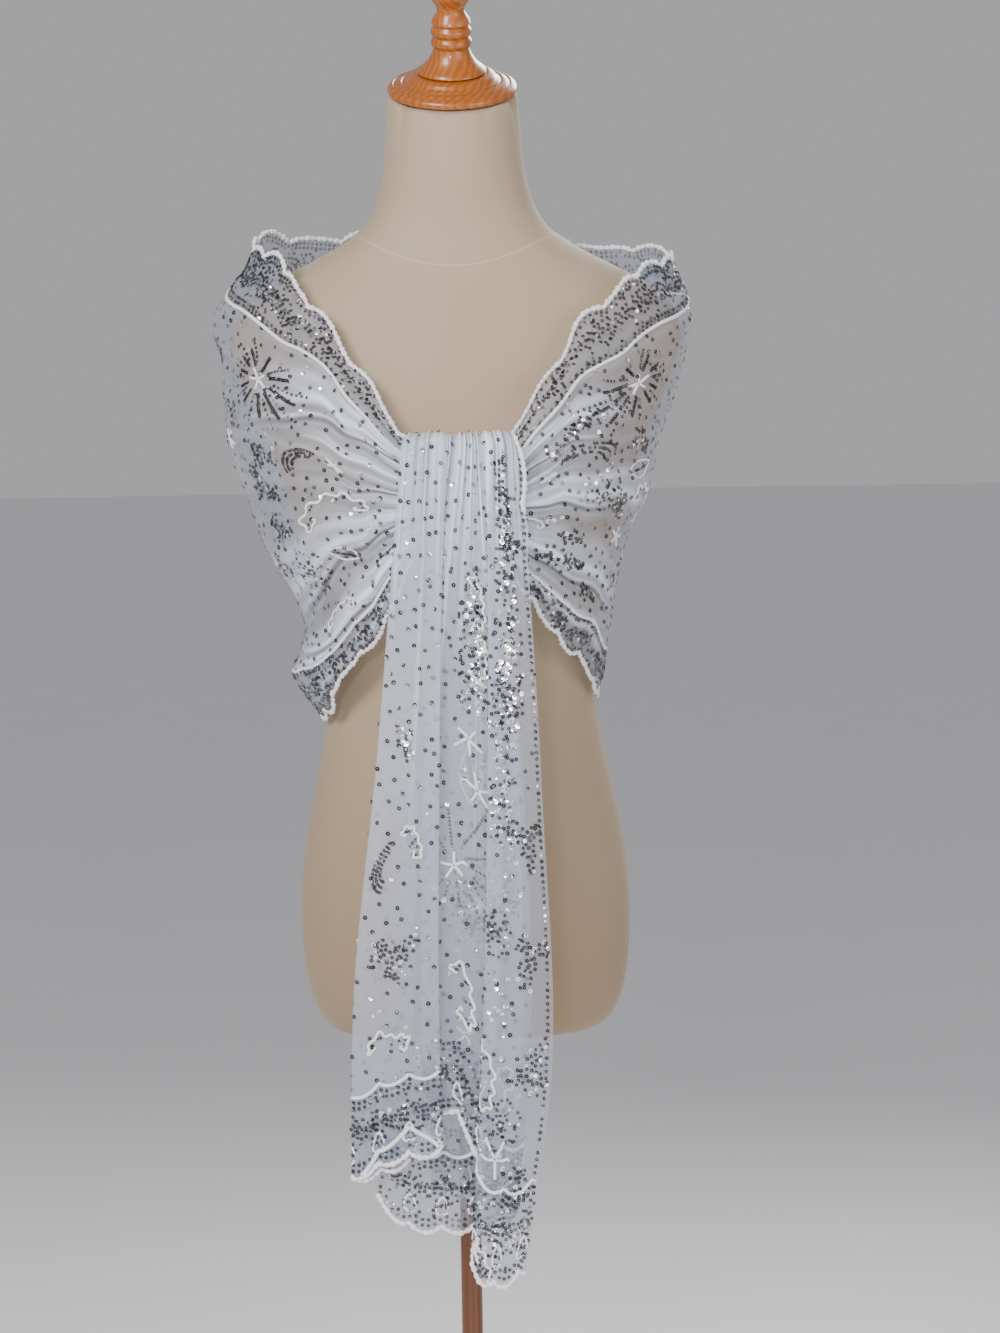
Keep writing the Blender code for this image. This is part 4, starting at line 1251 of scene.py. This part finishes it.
# Outlines of the turned pieces, from the middle of the foot to the middle of the top
# columns: radius in mm, height in mm
CAP_PROFILE = (
    (0, 0), (50, 0), (52.4, 1.2), (53, 3.2), (52.2, 5.6), (50, 7.4), (48.6, 7.9), (48, 7.3), (47, 7.4),
    (45.5, 9), (43.5, 9.9), (41.5, 10.1), (40.8, 9.5), (39.9, 9.6), (38.8, 10.9), (37.2, 11.6), (36.2, 12.4),
    (35.4, 14.2), (34, 15.6), (31.6, 16.4), (29.5, 16.6), (0, 16.9),
)
FINIAL_PROFILE = (
    (0, 0), (27.4, 0), (28, 0.7), (27.6, 2.2), (25.4, 4.3), (22, 7), (19, 10.4), (16.8, 14.2), (15.2, 18),
    (14.6, 20.6), (15.4, 21.8), (16.4, 23.4), (16.7, 25.2), (16.4, 27), (15.2, 28.6), (14.5, 29.6),
    (15.3, 30.8), (16.4, 32.4), (16.7, 34.2), (16.3, 36), (15, 37.6), (14.4, 38.8), (15.2, 40), (16, 41.2),
    (15.2, 44), (12.6, 48), (11, 51), (11.3, 53.4), (13, 56.6), (15.6, 60.4), (17.6, 64), (18, 67),
    (17.2, 70.4), (14.6, 74), (10.4, 77), (5, 79), (0.6, 79.5),
)
COLLAR_PROFILE = (
    (0, 0), (17, 0), (19.4, 1), (20.6, 3.2), (24.6, 6.6), (28.4, 9.6), (30, 11.4), (30, 14.6), (29.6, 15),
    (0, 15),
)
BASE_PROFILE = (
    (0, 0), (156, 0), (159, 1), (160, 3.4), (160, 13), (158.6, 16.4), (155, 18.6), (150, 19.2), (148, 18.6),
    (146, 19.6), (110, 22), (70, 25), (60, 26), (54, 26.2), (52.6, 27.8), (50, 28.6), (36, 30), (29, 34),
    (24.4, 38.6), (21, 43), (20, 46), (20.4, 48), (19, 49.8), (17, 50), (0, 50),
)


def lathe(name, profile, finish, foot, tilt=0.0, sides=64):
    """Turns a piece: a disc extruded up its profile ring by ring, then stood on its foot."""
    select_nothing()
    bpy.ops.mesh.primitive_circle_add(vertices=sides, radius=profile[1][0] / 1000, fill_type="NGON")
    made = bpy.context.active_object
    made.name = name
    bpy.ops.object.mode_set(mode="EDIT")
    bpy.ops.mesh.select_all(action="SELECT")
    radius, height = profile[1]
    for next_radius, next_height in profile[2:-1]:
        rise = (next_height - height) / 1000
        bpy.ops.mesh.extrude_region_move(TRANSFORM_OT_translate={"value": (0, 0, rise)})
        scale = next_radius / radius
        bpy.ops.transform.resize(value=(scale, scale, 1), center_override=(0, 0, next_height / 1000))
        radius, height = next_radius, next_height
    bpy.ops.mesh.select_all(action="SELECT")
    bpy.ops.mesh.normals_make_consistent(inside=False)
    bpy.ops.object.mode_set(mode="OBJECT")
    made.location = foot
    made.rotation_euler = (tilt, 0, 0)
    bpy.ops.object.transform_apply(location=True, rotation=True, scale=True)
    bpy.ops.object.shade_smooth_by_angle(angle=math.radians(40))
    made.data.materials.clear()
    made.data.materials.append(finish)
    return made


class Nodes:
    """Places shader nodes in one tree with short calls."""

    def __init__(self, tree):
        self.tree = tree

    def add(self, kind, *values, **named):
        """Adds a node, sets its named properties, and fills its sockets in order with values or links."""
        node = self.tree.nodes.new(kind)
        for key, value in named.items():
            setattr(node, key, value)
        for socket, value in zip(node.inputs, values):
            self.feed(socket, value)
        return node

    def feed(self, socket, value):
        """Fills one socket with a value or a link."""
        if isinstance(value, bpy.types.NodeSocket):
            self.tree.links.new(value, socket)
        elif value is not None:
            socket.default_value = value

    def math(self, operation, *values):
        """A Math node's result."""
        return self.add("ShaderNodeMath", *values, operation=operation).outputs[0]

    def vector(self, operation, *values):
        """A Vector Math node's vector result."""
        return self.add("ShaderNodeVectorMath", *values, operation=operation).outputs[0]

    def mix(self, share, low, high):
        """A colour mix."""
        node = self.add("ShaderNodeMix", data_type="RGBA")
        for socket, value in zip([s for s in node.inputs if s.enabled], (share, low, high)):
            self.feed(socket, value)
        return [s for s in node.outputs if s.enabled][0]

    def ramp(self, value, stops):
        """A colour ramp over (place, colour) stops."""
        node = self.add("ShaderNodeValToRGB", value)
        elements = node.color_ramp.elements
        elements[0].position, elements[0].color = stops[0]
        elements[1].position, elements[1].color = stops[-1]
        for place, colour in stops[1:-1]:
            elements.new(place).color = colour
        return node.outputs[0]

    def noise(self, vector, scale, detail=3.0, roughness=0.5):
        """A noise texture's grey value."""
        node = self.add("ShaderNodeTexNoise")
        self.fill(node, Vector=vector, Scale=scale, Detail=detail, Roughness=roughness)
        return node.outputs[0]

    def fill(self, node, **values):
        """Fills a node's sockets, named with underscores for spaces."""
        for name, value in values.items():
            self.feed(node.inputs[name.replace("_", " ")], value)

    def bump(self, height, strength, distance):
        """A bump's normal."""
        node = self.add("ShaderNodeBump")
        self.fill(node, Strength=strength, Distance=distance, Height=height)
        return node.outputs[0]

    def spread(self, value, *limits):
        """A value spread from one span to another: from low, from high, to low, to high."""
        return self.add("ShaderNodeMapRange", value, *limits).outputs[0]

    def attribute(self, name):
        """A number that each vertex holds."""
        return self.add("ShaderNodeAttribute", attribute_name=name).outputs["Fac"]


def node_group(name, inputs, outputs, build):
    """Makes a shader node group once. Sockets are (name, kind, default)."""
    group = bpy.data.node_groups.get(name)
    if group:
        return group
    group = bpy.data.node_groups.new(name, "ShaderNodeTree")
    for socket_name, kind, default in inputs:
        socket = group.interface.new_socket(socket_name, in_out="INPUT", socket_type=kind)
        if default is not None:
            socket.default_value = default
    for socket_name, kind in outputs:
        group.interface.new_socket(socket_name, in_out="OUTPUT", socket_type=kind)
    nodes = Nodes(group)
    start, end = nodes.add("NodeGroupInput"), nodes.add("NodeGroupOutput")
    for socket, value in zip(end.inputs, build(nodes, start.outputs)):
        nodes.feed(socket, value)
    return group


# The net's hexagons: the cell that repeats and the slant of a side, in widths of one hole, and the
# thread's half width
HEXAGON_CELL = (1.0, 1.7320508, 1.0)
HEXAGON_SLANT = (0.5, 0.8660254)
NET_THREAD = 0.14


def net_mesh_group():
    """A hexagonal net: 1 on a thread and 0 in a hole, from metres of cloth."""

    def build(nodes, given):
        place, pitch, thread = given[0], given[1], given[2]
        cell = nodes.add("ShaderNodeCombineXYZ", *HEXAGON_CELL).outputs[0]
        scaled = nodes.add("ShaderNodeVectorMath", place, operation="SCALE")
        nodes.feed(scaled.inputs["Scale"], nodes.math("DIVIDE", 1.0, pitch))
        half = nodes.vector("MULTIPLY", cell, (0.5, 0.5, 0.5))
        flat = nodes.vector("MULTIPLY", scaled.outputs[0], (1, 1, 0))
        first = nodes.vector("SUBTRACT", nodes.vector("WRAP", flat, (0, 0, 0), cell), half)
        moved = nodes.vector("ADD", flat, half)
        second = nodes.vector("SUBTRACT", nodes.vector("WRAP", moved, (0, 0, 0), cell), half)
        first = nodes.vector("MULTIPLY", first, (1, 1, 0))
        second = nodes.vector("MULTIPLY", second, (1, 1, 0))
        reach = [nodes.add("ShaderNodeVectorMath", v, operation="LENGTH").outputs[1] for v in (first, second)]
        nearer = nodes.math("LESS_THAN", *reach)
        chosen = nodes.add("ShaderNodeMix", data_type="VECTOR")
        sockets = [s for s in chosen.inputs if s.enabled]
        for socket, value in zip(sockets, (nearer, second, first)):
            nodes.feed(socket, value)
        chosen = nodes.vector("ABSOLUTE", [s for s in chosen.outputs if s.enabled][0])
        split = nodes.add("ShaderNodeSeparateXYZ", chosen)
        level = nodes.math("MULTIPLY", split.outputs[0], HEXAGON_SLANT[0])
        slant = nodes.math("ADD", level, nodes.math("MULTIPLY", split.outputs[1], HEXAGON_SLANT[1]))
        ridge = nodes.math("MAXIMUM", split.outputs[0], slant)
        return (nodes.spread(ridge, nodes.math("SUBTRACT", 0.5, thread), 0.5, 0.0, 1.0),)

    inputs = (
        ("Place", "NodeSocketVector", None),
        ("Pitch", "NodeSocketFloat", 0.0014),
        ("Thread", "NodeSocketFloat", NET_THREAD),
    )
    return node_group("net_mesh", inputs, (("Thread", "NodeSocketFloat"),), build)


def soft_mottle_group():
    """Slow, cloudy changes over a surface, for colour and roughness that are never quite even."""

    def build(nodes, given):
        slow = nodes.noise(given[0], given[1], 2.0)
        fine = nodes.noise(given[0], nodes.math("MULTIPLY", given[1], 7.0), 3.0)
        both = nodes.math("ADD", nodes.math("MULTIPLY", slow, 0.7), nodes.math("MULTIPLY", fine, 0.3))
        return (both,)

    inputs = (("Place", "NodeSocketVector", None), ("Scale", "NodeSocketFloat", 8.0))
    return node_group("soft_mottle", inputs, (("Value", "NodeSocketFloat"),), build)


def soft_mottle(nodes, place, scale):
    """The slow, cloudy changes, used in a finish."""
    mottle = nodes.add("ShaderNodeGroup", node_tree=soft_mottle_group())
    nodes.fill(mottle, Place=place, Scale=scale)
    return mottle.outputs[0]


def new_finish(name):
    """A material with its shader, ready for nodes, made once."""
    made = bpy.data.materials.get(name) or bpy.data.materials.new(name)
    made.use_nodes = True
    made.node_tree.nodes.clear()
    nodes = Nodes(made.node_tree)
    shader = nodes.add("ShaderNodeBsdfPrincipled")
    output = nodes.add("ShaderNodeOutputMaterial")
    nodes.tree.links.new(shader.outputs[0], output.inputs[0])
    return made, nodes, shader


def shade(colour, factor):
    """A colour made lighter or darker, with full alpha."""
    return (*(min(1.0, c * factor) for c in colour[:3]), 1.0)


# The net's painted light and shade: bare net painted darker, as threads in shade, between a low and a
# high one; gathered net painted lighter, partly a highlight; the painted shadow in a fold line; then how
# much more light a thread stops than a hole, and a fold line than flat net
BARE_NET_PAINTED_SHADE = (0.40, 0.52)
GATHERED_AND_HIGHLIGHT_SHADE = 1.16
FOLD_PAINTED_SHADOW = 0.17
THREAD_COVER = 0.34
FOLD_COVER = 0.45


def net_finish(name, cover):
    """Sheer net: holes that let the light through between pale threads, closer where it gathers, with painted
    shade and highlight.
    """
    made, nodes, shader = new_finish(name)
    place = nodes.add("ShaderNodeUVMap", uv_map="cloth").outputs[0]
    gather_and_highlight, dark = nodes.attribute("gather_and_highlight"), nodes.attribute("dark")
    mesh = nodes.add("ShaderNodeGroup", node_tree=net_mesh_group())
    nodes.fill(mesh, Place=place, Pitch=settings().net_pitch)
    thread = settings().net_color
    # Bare net painted darker, as threads in shade, with a mottle between two shades
    plain = nodes.mix(soft_mottle(nodes, place, 30.0), *(shade(thread, s) for s in BARE_NET_PAINTED_SHADE))
    # Gathered net painted lighter: closer-set threads, and partly a painted highlight on the folds
    colour = nodes.mix(nodes.math("POWER", gather_and_highlight, 0.7), plain, shade(thread, GATHERED_AND_HIGHLIGHT_SHADE))
    # Painted shadow in the fold lines and painted shade over the border's net
    colour = nodes.mix(dark, colour, shade(thread, FOLD_PAINTED_SHADOW))

    def rest(share):
        """What a share leaves of 1."""
        return nodes.math("SUBTRACT", 1.0, share)

    haze = nodes.spread(mesh.outputs[0], 0.0, 1.0, cover, cover + THREAD_COVER)
    holes = nodes.math("MULTIPLY", rest(haze), rest(gather_and_highlight))
    holes = nodes.math("MULTIPLY", holes, rest(nodes.math("MULTIPLY", dark, FOLD_COVER)))
    nodes.fill(shader, Base_Color=colour, Alpha=rest(holes), Roughness=0.55)
    nodes.fill(shader, Sheen_Weight=0.35, Sheen_Roughness=0.4)
    nodes.fill(shader, Normal=nodes.bump(mesh.outputs[0], 0.25, 0.0003))
    return made


def cord_finish():
    """White embroidery cord with the slant of its twisted threads."""
    made, nodes, shader = new_finish("white_cord_twist")
    place = nodes.add("ShaderNodeUVMap", uv_map="cloth").outputs[0]
    split = nodes.add("ShaderNodeSeparateXYZ", place)
    slant = nodes.math("ADD", split.outputs[0], split.outputs[1])
    strand = nodes.math("SINE", nodes.math("MULTIPLY", slant, 2 * math.pi / 0.0011))
    mottle = nodes.noise(place, 220.0, 2.0)
    colour = nodes.mix(mottle, shade(settings().cord_color, 0.86), shade(settings().cord_color, 1.04))
    nodes.fill(shader, Base_Color=colour, Roughness=0.6, Sheen_Weight=0.3)
    nodes.fill(shader, Normal=nodes.bump(strand, 0.5, 0.0002))
    return made


def sequin_finish():
    """Sequins: mostly dark gloss, some silver, a few that flash white, each with a hole."""
    made, nodes, shader = new_finish("sequin_foil")
    tone, rim = nodes.attribute("tone"), nodes.attribute("rim")
    dark, bright = settings().sequin_dark, settings().sequin_bright
    stops = [(place, shade(dark, factor)) for place, factor in ((0.0, 0.5), (0.55, 1.4), (0.78, 5.0))]
    stops += [(place, shade(bright, factor)) for place, factor in ((0.84, 0.30), (0.92, 0.62), (0.96, 1.0))]
    colour = nodes.ramp(tone, stops)
    place = nodes.add("ShaderNodeTexCoord").outputs["Object"]
    facet = nodes.noise(place, 900.0, 1.0)
    roughness = nodes.spread(facet, 0.0, 1.0, 0.14, 0.32)
    solid = nodes.math("GREATER_THAN", rim, 0.30)
    silvered = nodes.spread(tone, 0.76, 0.90, 0.10, 0.95)
    nodes.fill(shader, Base_Color=colour, Metallic=silvered, Roughness=roughness)
    nodes.fill(shader, Coat_Weight=0.25, Alpha=solid)
    nodes.fill(shader, Normal=nodes.bump(facet, 0.15, 0.0002))
    return made


# The form's cover, which is darker and warmer towards its foot
LOW_TINT = (0.68, 0.59, 0.50)
LOW_TINT_HEIGHTS = (1.25, 0.85)


def form_finish():
    """The form's smooth stretched cover: a fine weave, faint mottling and the neck's seam."""
    made, nodes, shader = new_finish("form_jersey")
    place = nodes.add("ShaderNodeTexCoord").outputs["Object"]
    mottle = soft_mottle(nodes, place, 9.0)
    cover = settings_form().cover_color
    split = nodes.add("ShaderNodeSeparateXYZ", place)
    low = nodes.spread(split.outputs[2], *LOW_TINT_HEIGHTS, 0.0, 1.0)
    tint = nodes.mix(low, shade(cover, 1.0), (*(c * t for c, t in zip(cover, LOW_TINT)), 1.0))
    colour = nodes.mix(nodes.math("MULTIPLY", mottle, 0.35), tint, shade(cover, 0.84))
    away = nodes.add("ShaderNodeVectorMath", place, NECK_SEAM_CENTRE, operation="DISTANCE").outputs[1]
    seam = nodes.math("ABSOLUTE", nodes.math("SUBTRACT", away, NECK_SEAM_RADIUS))
    groove = nodes.spread(seam, 0.0, 0.0011, 1.0, 0.0)
    colour = nodes.mix(nodes.math("MULTIPLY", groove, 0.8), colour, shade(cover, 1.35))
    weave = []
    for direction in ((1, 0.55, 0.35), (-0.6, 0.2, 1.0)):
        along = nodes.add("ShaderNodeVectorMath", place, direction, operation="DOT_PRODUCT").outputs[1]
        weave.append(nodes.math("SINE", nodes.math("MULTIPLY", along, 2 * math.pi / 0.0011)))
    cloth = nodes.math("MULTIPLY", *weave)
    height = nodes.math("SUBTRACT", nodes.math("MULTIPLY", cloth, 0.25), nodes.math("MULTIPLY", groove, 2.0))
    rough = nodes.spread(mottle, 0.0, 1.0, 0.62, 0.86)
    nodes.fill(shader, Base_Color=colour, Roughness=rough, Sheen_Weight=0.12)
    nodes.fill(shader, Normal=nodes.bump(height, 0.3, 0.0003))
    return made


def wood_finish(name, painted_shade_factor):
    """Varnished turned wood: growth rings, long grain and small dark pores under a clear coat, with a factor
    of painted shade.
    """
    made, nodes, shader = new_finish(name)
    place = nodes.add("ShaderNodeTexCoord").outputs["Object"]
    leaned = nodes.add("ShaderNodeMapping")
    nodes.fill(leaned, Vector=place, Location=(0.035, 0.02, 0.0), Scale=(1.0, 1.0, 0.16))
    waver = nodes.noise(leaned.outputs[0], 14.0, 3.0)
    split = nodes.add("ShaderNodeSeparateXYZ", leaned.outputs[0])
    squares = [nodes.math("POWER", split.outputs[k], 2.0) for k in range(2)]
    radius = nodes.math("SQRT", nodes.math("ADD", *squares))
    bent = nodes.math("ADD", radius, nodes.math("MULTIPLY", waver, 0.020))
    rings = nodes.math("SINE", nodes.math("MULTIPLY", bent, 2 * math.pi / 0.0046))
    rings = nodes.math("ADD", nodes.math("MULTIPLY", rings, 0.32), 0.5)
    streaks = nodes.noise(leaned.outputs[0], 260.0, 4.0, 0.6)
    grain = nodes.math("ADD", nodes.math("MULTIPLY", rings, 0.65), nodes.math("MULTIPLY", streaks, 0.35))
    wood = shade(settings_form().wood_color, painted_shade_factor)
    stops = ((0.18, 0.60), (0.5, 0.84), (0.82, 1.08))
    colour = nodes.ramp(grain, [(place, shade(wood, factor)) for place, factor in stops])
    nodes.fill(shader, Base_Color=colour, Roughness=0.38, Coat_Weight=0.4, Coat_Roughness=0.12)
    nodes.fill(shader, Normal=nodes.bump(grain, 0.12, 0.0003))
    return made


def floor_finish(colour):
    """The plain pale floor."""
    made, nodes, shader = new_finish("studio_floor")
    place = nodes.add("ShaderNodeTexCoord").outputs["Object"]
    mottle = nodes.noise(place, 3.0, 2.0)
    tint = nodes.mix(mottle, shade(colour, 0.98), shade(colour, 1.02))
    nodes.fill(shader, Base_Color=tint, Roughness=0.9)
    return made


def settings():
    """The shawl's sizes and colours."""
    return bpy.context.scene.lace_shawl


def settings_form():
    """The form's and stand's colours."""
    return bpy.context.scene.shawl_form


def colour_setting(name, description, default):
    """A colour in the panel."""
    return bpy.props.FloatVectorProperty(
        name=name, description=description, size=3, subtype="COLOR", default=default
    )


def length_setting(name, description, default):
    """A length in the panel, in metres."""
    return bpy.props.FloatProperty(name=name, description=description, unit="LENGTH", default=default)


class ShawlSettings(bpy.types.PropertyGroup):
    """Sizes and colours of the shawl."""

    net_color: colour_setting("Net", "Colour of the net's threads", (0.71, 0.78, 1.0))
    cord_color: colour_setting("Cord", "Colour of the embroidery cord", (0.92, 0.92, 0.95))
    sequin_dark: colour_setting("Dark sequins", "Colour of most sequins", (0.010, 0.011, 0.019))
    sequin_bright: colour_setting("Bright sequins", "Colour of the flashing sequins", (0.95, 0.95, 0.98))
    net_cover: bpy.props.FloatProperty(
        name="Net cover",
        description="How much of the light a hole's haze of fine threads stops",
        min=0,
        max=1,
        subtype="FACTOR",
        default=0.20,
    )
    net_pitch: length_setting("Net pitch", "Width of one net hole", 0.0015)
    sequin_pitch: length_setting("Sequin pitch", "Distance between sequins in a row", 0.0044)
    field_pitch: length_setting("Field pitch", "Distance between scattered sequins", 0.0155)
    sequin_size: bpy.props.FloatProperty(
        name="Sequin size", description="Size factor of all sequins", default=1.0
    )
    scallop_pitch: length_setting("Scallop pitch", "Length of one scallop of the border", 0.038)
    border_width: length_setting("Border width", "Width of the border band", 0.060)
    cord_width: length_setting("Seam cord", "Width of the border's seam cord", 0.0030)
    edge_width: length_setting("Edge cord", "Width of the scalloped edge's cord", 0.0038)


class FormSettings(bpy.types.PropertyGroup):
    """Colours of the dress form and its stand."""

    cover_color: colour_setting("Cover", "Colour of the form's cover", (0.42, 0.318, 0.214))
    wood_color: colour_setting("Wood", "Colour of the turned wood", (0.42, 0.110, 0.006))


class StageSettings(bpy.types.PropertyGroup):
    """The studio round the shawl."""

    floor_color: colour_setting("Floor", "Colour of the floor", (0.84, 0.84, 0.85))
    world_color: colour_setting("Room", "Colour of the room's soft light", (0.42, 0.42, 0.435))
    key_power: bpy.props.FloatProperty(
        name="Key light", description="Power of the key light in watts", unit="POWER", default=108.0
    )


class SHAWL_OT_dress_form(bpy.types.Operator):
    """Build the dress form's smooth cover."""

    bl_idname = "shawl.dress_form"
    bl_label = "Dress Form"

    def execute(self, context):
        cover = dress_form(form_finish())
        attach(cover, "root")
        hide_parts("dress_form")
        return {"FINISHED"}


class SHAWL_OT_turned_wood(bpy.types.Operator):
    """Build the cap, finial, collar, pole and base as turned wood."""

    bl_idname = "shawl.turned_wood"
    bl_label = "Turned Wood"

    def execute(self, context):
        honey = wood_finish("varnished_wood", 1.0)
        # The stand's wood is painted darker: painted shade for the pole in the shawl's shadow, shared by the
        # collar and base
        dark = wood_finish("dark_varnished_wood", 0.32)
        up = Vector((0, -math.sin(NECK_TILT), math.cos(NECK_TILT)))
        cap_foot = Vector(NECK_FOOT) + up * JOINT_GAP
        finial_foot = cap_foot + up * (CAP_PROFILE[-1][1] / 1000 + JOINT_GAP)
        collar_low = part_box("stand_collar")[0]
        pole_low, pole_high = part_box("stand_pole")
        length = (pole_high.z - pole_low.z) * 1000
        radius = (pole_high.x - pole_low.x) * 500
        pole = ((0, 0), *((radius, length * share) for share in (0, 0.25, 0.5, 0.75, 1)), (0, length))
        pieces = (
            ("cap_turned", CAP_PROFILE, "neck_cap", cap_foot, NECK_TILT, honey),
            ("finial_turned", FINIAL_PROFILE, "neck_finial", finial_foot, NECK_TILT, honey),
            ("collar_turned", COLLAR_PROFILE, "stand_collar", (0, 0, collar_low.z), 0, dark),
            ("pole_turned", pole, "stand_pole", (0, 0, pole_low.z), 0, dark),
            ("base_turned", BASE_PROFILE, "stand_base", (0, 0, 0), 0, dark),
        )
        for name, profile, node, foot, tilt, finish in pieces:
            piece = lathe(name, profile, finish, foot, tilt)
            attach(piece, "root")
            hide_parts(node)
        return {"FINISHED"}


class SHAWL_OT_knot(bpy.types.Operator):
    """Build the knot's bundled core."""

    bl_idname = "shawl.knot"
    bl_label = "Knot"

    def execute(self, context):
        core = knot_core(net_finish("bundled_net", 0.8))
        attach(core, "root")
        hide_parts("knot_core")
        return {"FINISHED"}


class SHAWL_OT_cords(bpy.types.Operator):
    """Couch the white cords on every stretch."""

    bl_idname = "shawl.cords"
    bl_label = "White Cords"

    def execute(self, context):
        finish = cord_finish()
        seams = {"wing_left": "seam_cord_left", "wing_right": "seam_cord_right"}
        for name in STRETCHES:
            piece = white_cords(name, finish)
            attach(piece, "root")
            if name in seams:
                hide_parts(seams[name])
        return {"FINISHED"}


class SHAWL_OT_sequins(bpy.types.Operator):
    """Sew the sequins on every stretch."""

    bl_idname = "shawl.sequins"
    bl_label = "Sequins"

    def execute(self, context):
        finish = sequin_finish()
        for name in STRETCHES:
            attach(sequins(name, finish), "root")
        return {"FINISHED"}


class SHAWL_OT_net(bpy.types.Operator):
    """Drape the net of every stretch."""

    bl_idname = "shawl.net"
    bl_label = "Net"

    def execute(self, context):
        finish = net_finish("sheer_net", settings().net_cover)
        for name, stretch in STRETCHES.items():
            piece = net_sheet(name + "_net", stretch, BORDERS[name], finish)
            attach(piece, "root")
            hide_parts(name)
        return {"FINISHED"}


class SHAWL_OT_stage(bpy.types.Operator):
    """Set up the pale floor, the soft studio light and the camera."""

    bl_idname = "shawl.stage"
    bl_label = "Studio Stage"

    def execute(self, context):
        stage = context.scene.shawl_stage
        select_nothing()
        bpy.ops.mesh.primitive_circle_add(vertices=96, radius=FLOOR_RADIUS, fill_type="NGON")
        floor = context.active_object
        floor.name = "studio_floor"
        floor.data.materials.append(floor_finish(stage.floor_color))
        world = context.scene.world or bpy.data.worlds.new("studio")
        context.scene.world = world
        world.use_nodes = True
        background = world.node_tree.nodes["Background"]
        background.inputs["Color"].default_value = (*stage.world_color, 1)
        background.inputs["Strength"].default_value = 1.0
        for name, place, size, share in LIGHTS:
            light = bpy.data.lights.new(name, "AREA")
            light.size, light.energy = size, stage.key_power * share
            lamp = bpy.data.objects.new(name, light)
            lamp.location = place
            facing = Vector(LIT_PLACE) - Vector(place)
            lamp.rotation_euler = facing.to_track_quat("-Z", "Y").to_euler()
            context.scene.collection.objects.link(lamp)
        data = bpy.data.cameras.new("photo_camera")
        data.sensor_fit, data.sensor_height, data.lens = "VERTICAL", FRAME_LONG_SIDE, CAMERA_LENS
        camera = bpy.data.objects.new("photo_camera", data)
        pose = Matrix.Translation(CAMERA_PLACE) @ Matrix.Rotation(CAMERA_PITCH, 4, "X")
        camera.matrix_world = pose @ Matrix.Rotation(CAMERA_ROLL, 4, "Z")
        context.scene.collection.objects.link(camera)
        context.scene.camera = camera
        return {"FINISHED"}


STEPS = (
    SHAWL_OT_dress_form,
    SHAWL_OT_turned_wood,
    SHAWL_OT_knot,
    SHAWL_OT_cords,
    SHAWL_OT_sequins,
    SHAWL_OT_net,
    SHAWL_OT_stage,
)


class SHAWL_PT_panel(bpy.types.Panel):
    """Lists the shawl's settings and steps."""

    bl_idname = "SHAWL_PT_panel"
    bl_label = "Lace Shawl"
    bl_space_type = "VIEW_3D"
    bl_region_type = "UI"
    bl_category = "Shawl"

    def draw(self, context):
        for group in (context.scene.lace_shawl, context.scene.shawl_form, context.scene.shawl_stage):
            box = self.layout.box()
            for name in group.__annotations__:
                box.prop(group, name)
        for step in STEPS:
            self.layout.operator(step.bl_idname)


CLASSES = (ShawlSettings, FormSettings, StageSettings, *STEPS, SHAWL_PT_panel)


def register():
    """Adds the classes and their settings to Blender."""
    for kind in CLASSES:
        bpy.utils.register_class(kind)
    bpy.types.Scene.lace_shawl = bpy.props.PointerProperty(type=ShawlSettings)
    bpy.types.Scene.shawl_form = bpy.props.PointerProperty(type=FormSettings)
    bpy.types.Scene.shawl_stage = bpy.props.PointerProperty(type=StageSettings)


def unregister():
    """Takes the settings and the classes away again."""
    del bpy.types.Scene.shawl_stage
    del bpy.types.Scene.shawl_form
    del bpy.types.Scene.lace_shawl
    for kind in reversed(CLASSES):
        bpy.utils.unregister_class(kind)


def main():
    """Build everything in order."""
    register()
    bpy.ops.shawl.dress_form()
    bpy.ops.shawl.turned_wood()
    bpy.ops.shawl.knot()
    bpy.ops.shawl.cords()
    bpy.ops.shawl.sequins()
    bpy.ops.shawl.net()
    bpy.ops.shawl.stage()


if __name__ == "__main__":
    main()
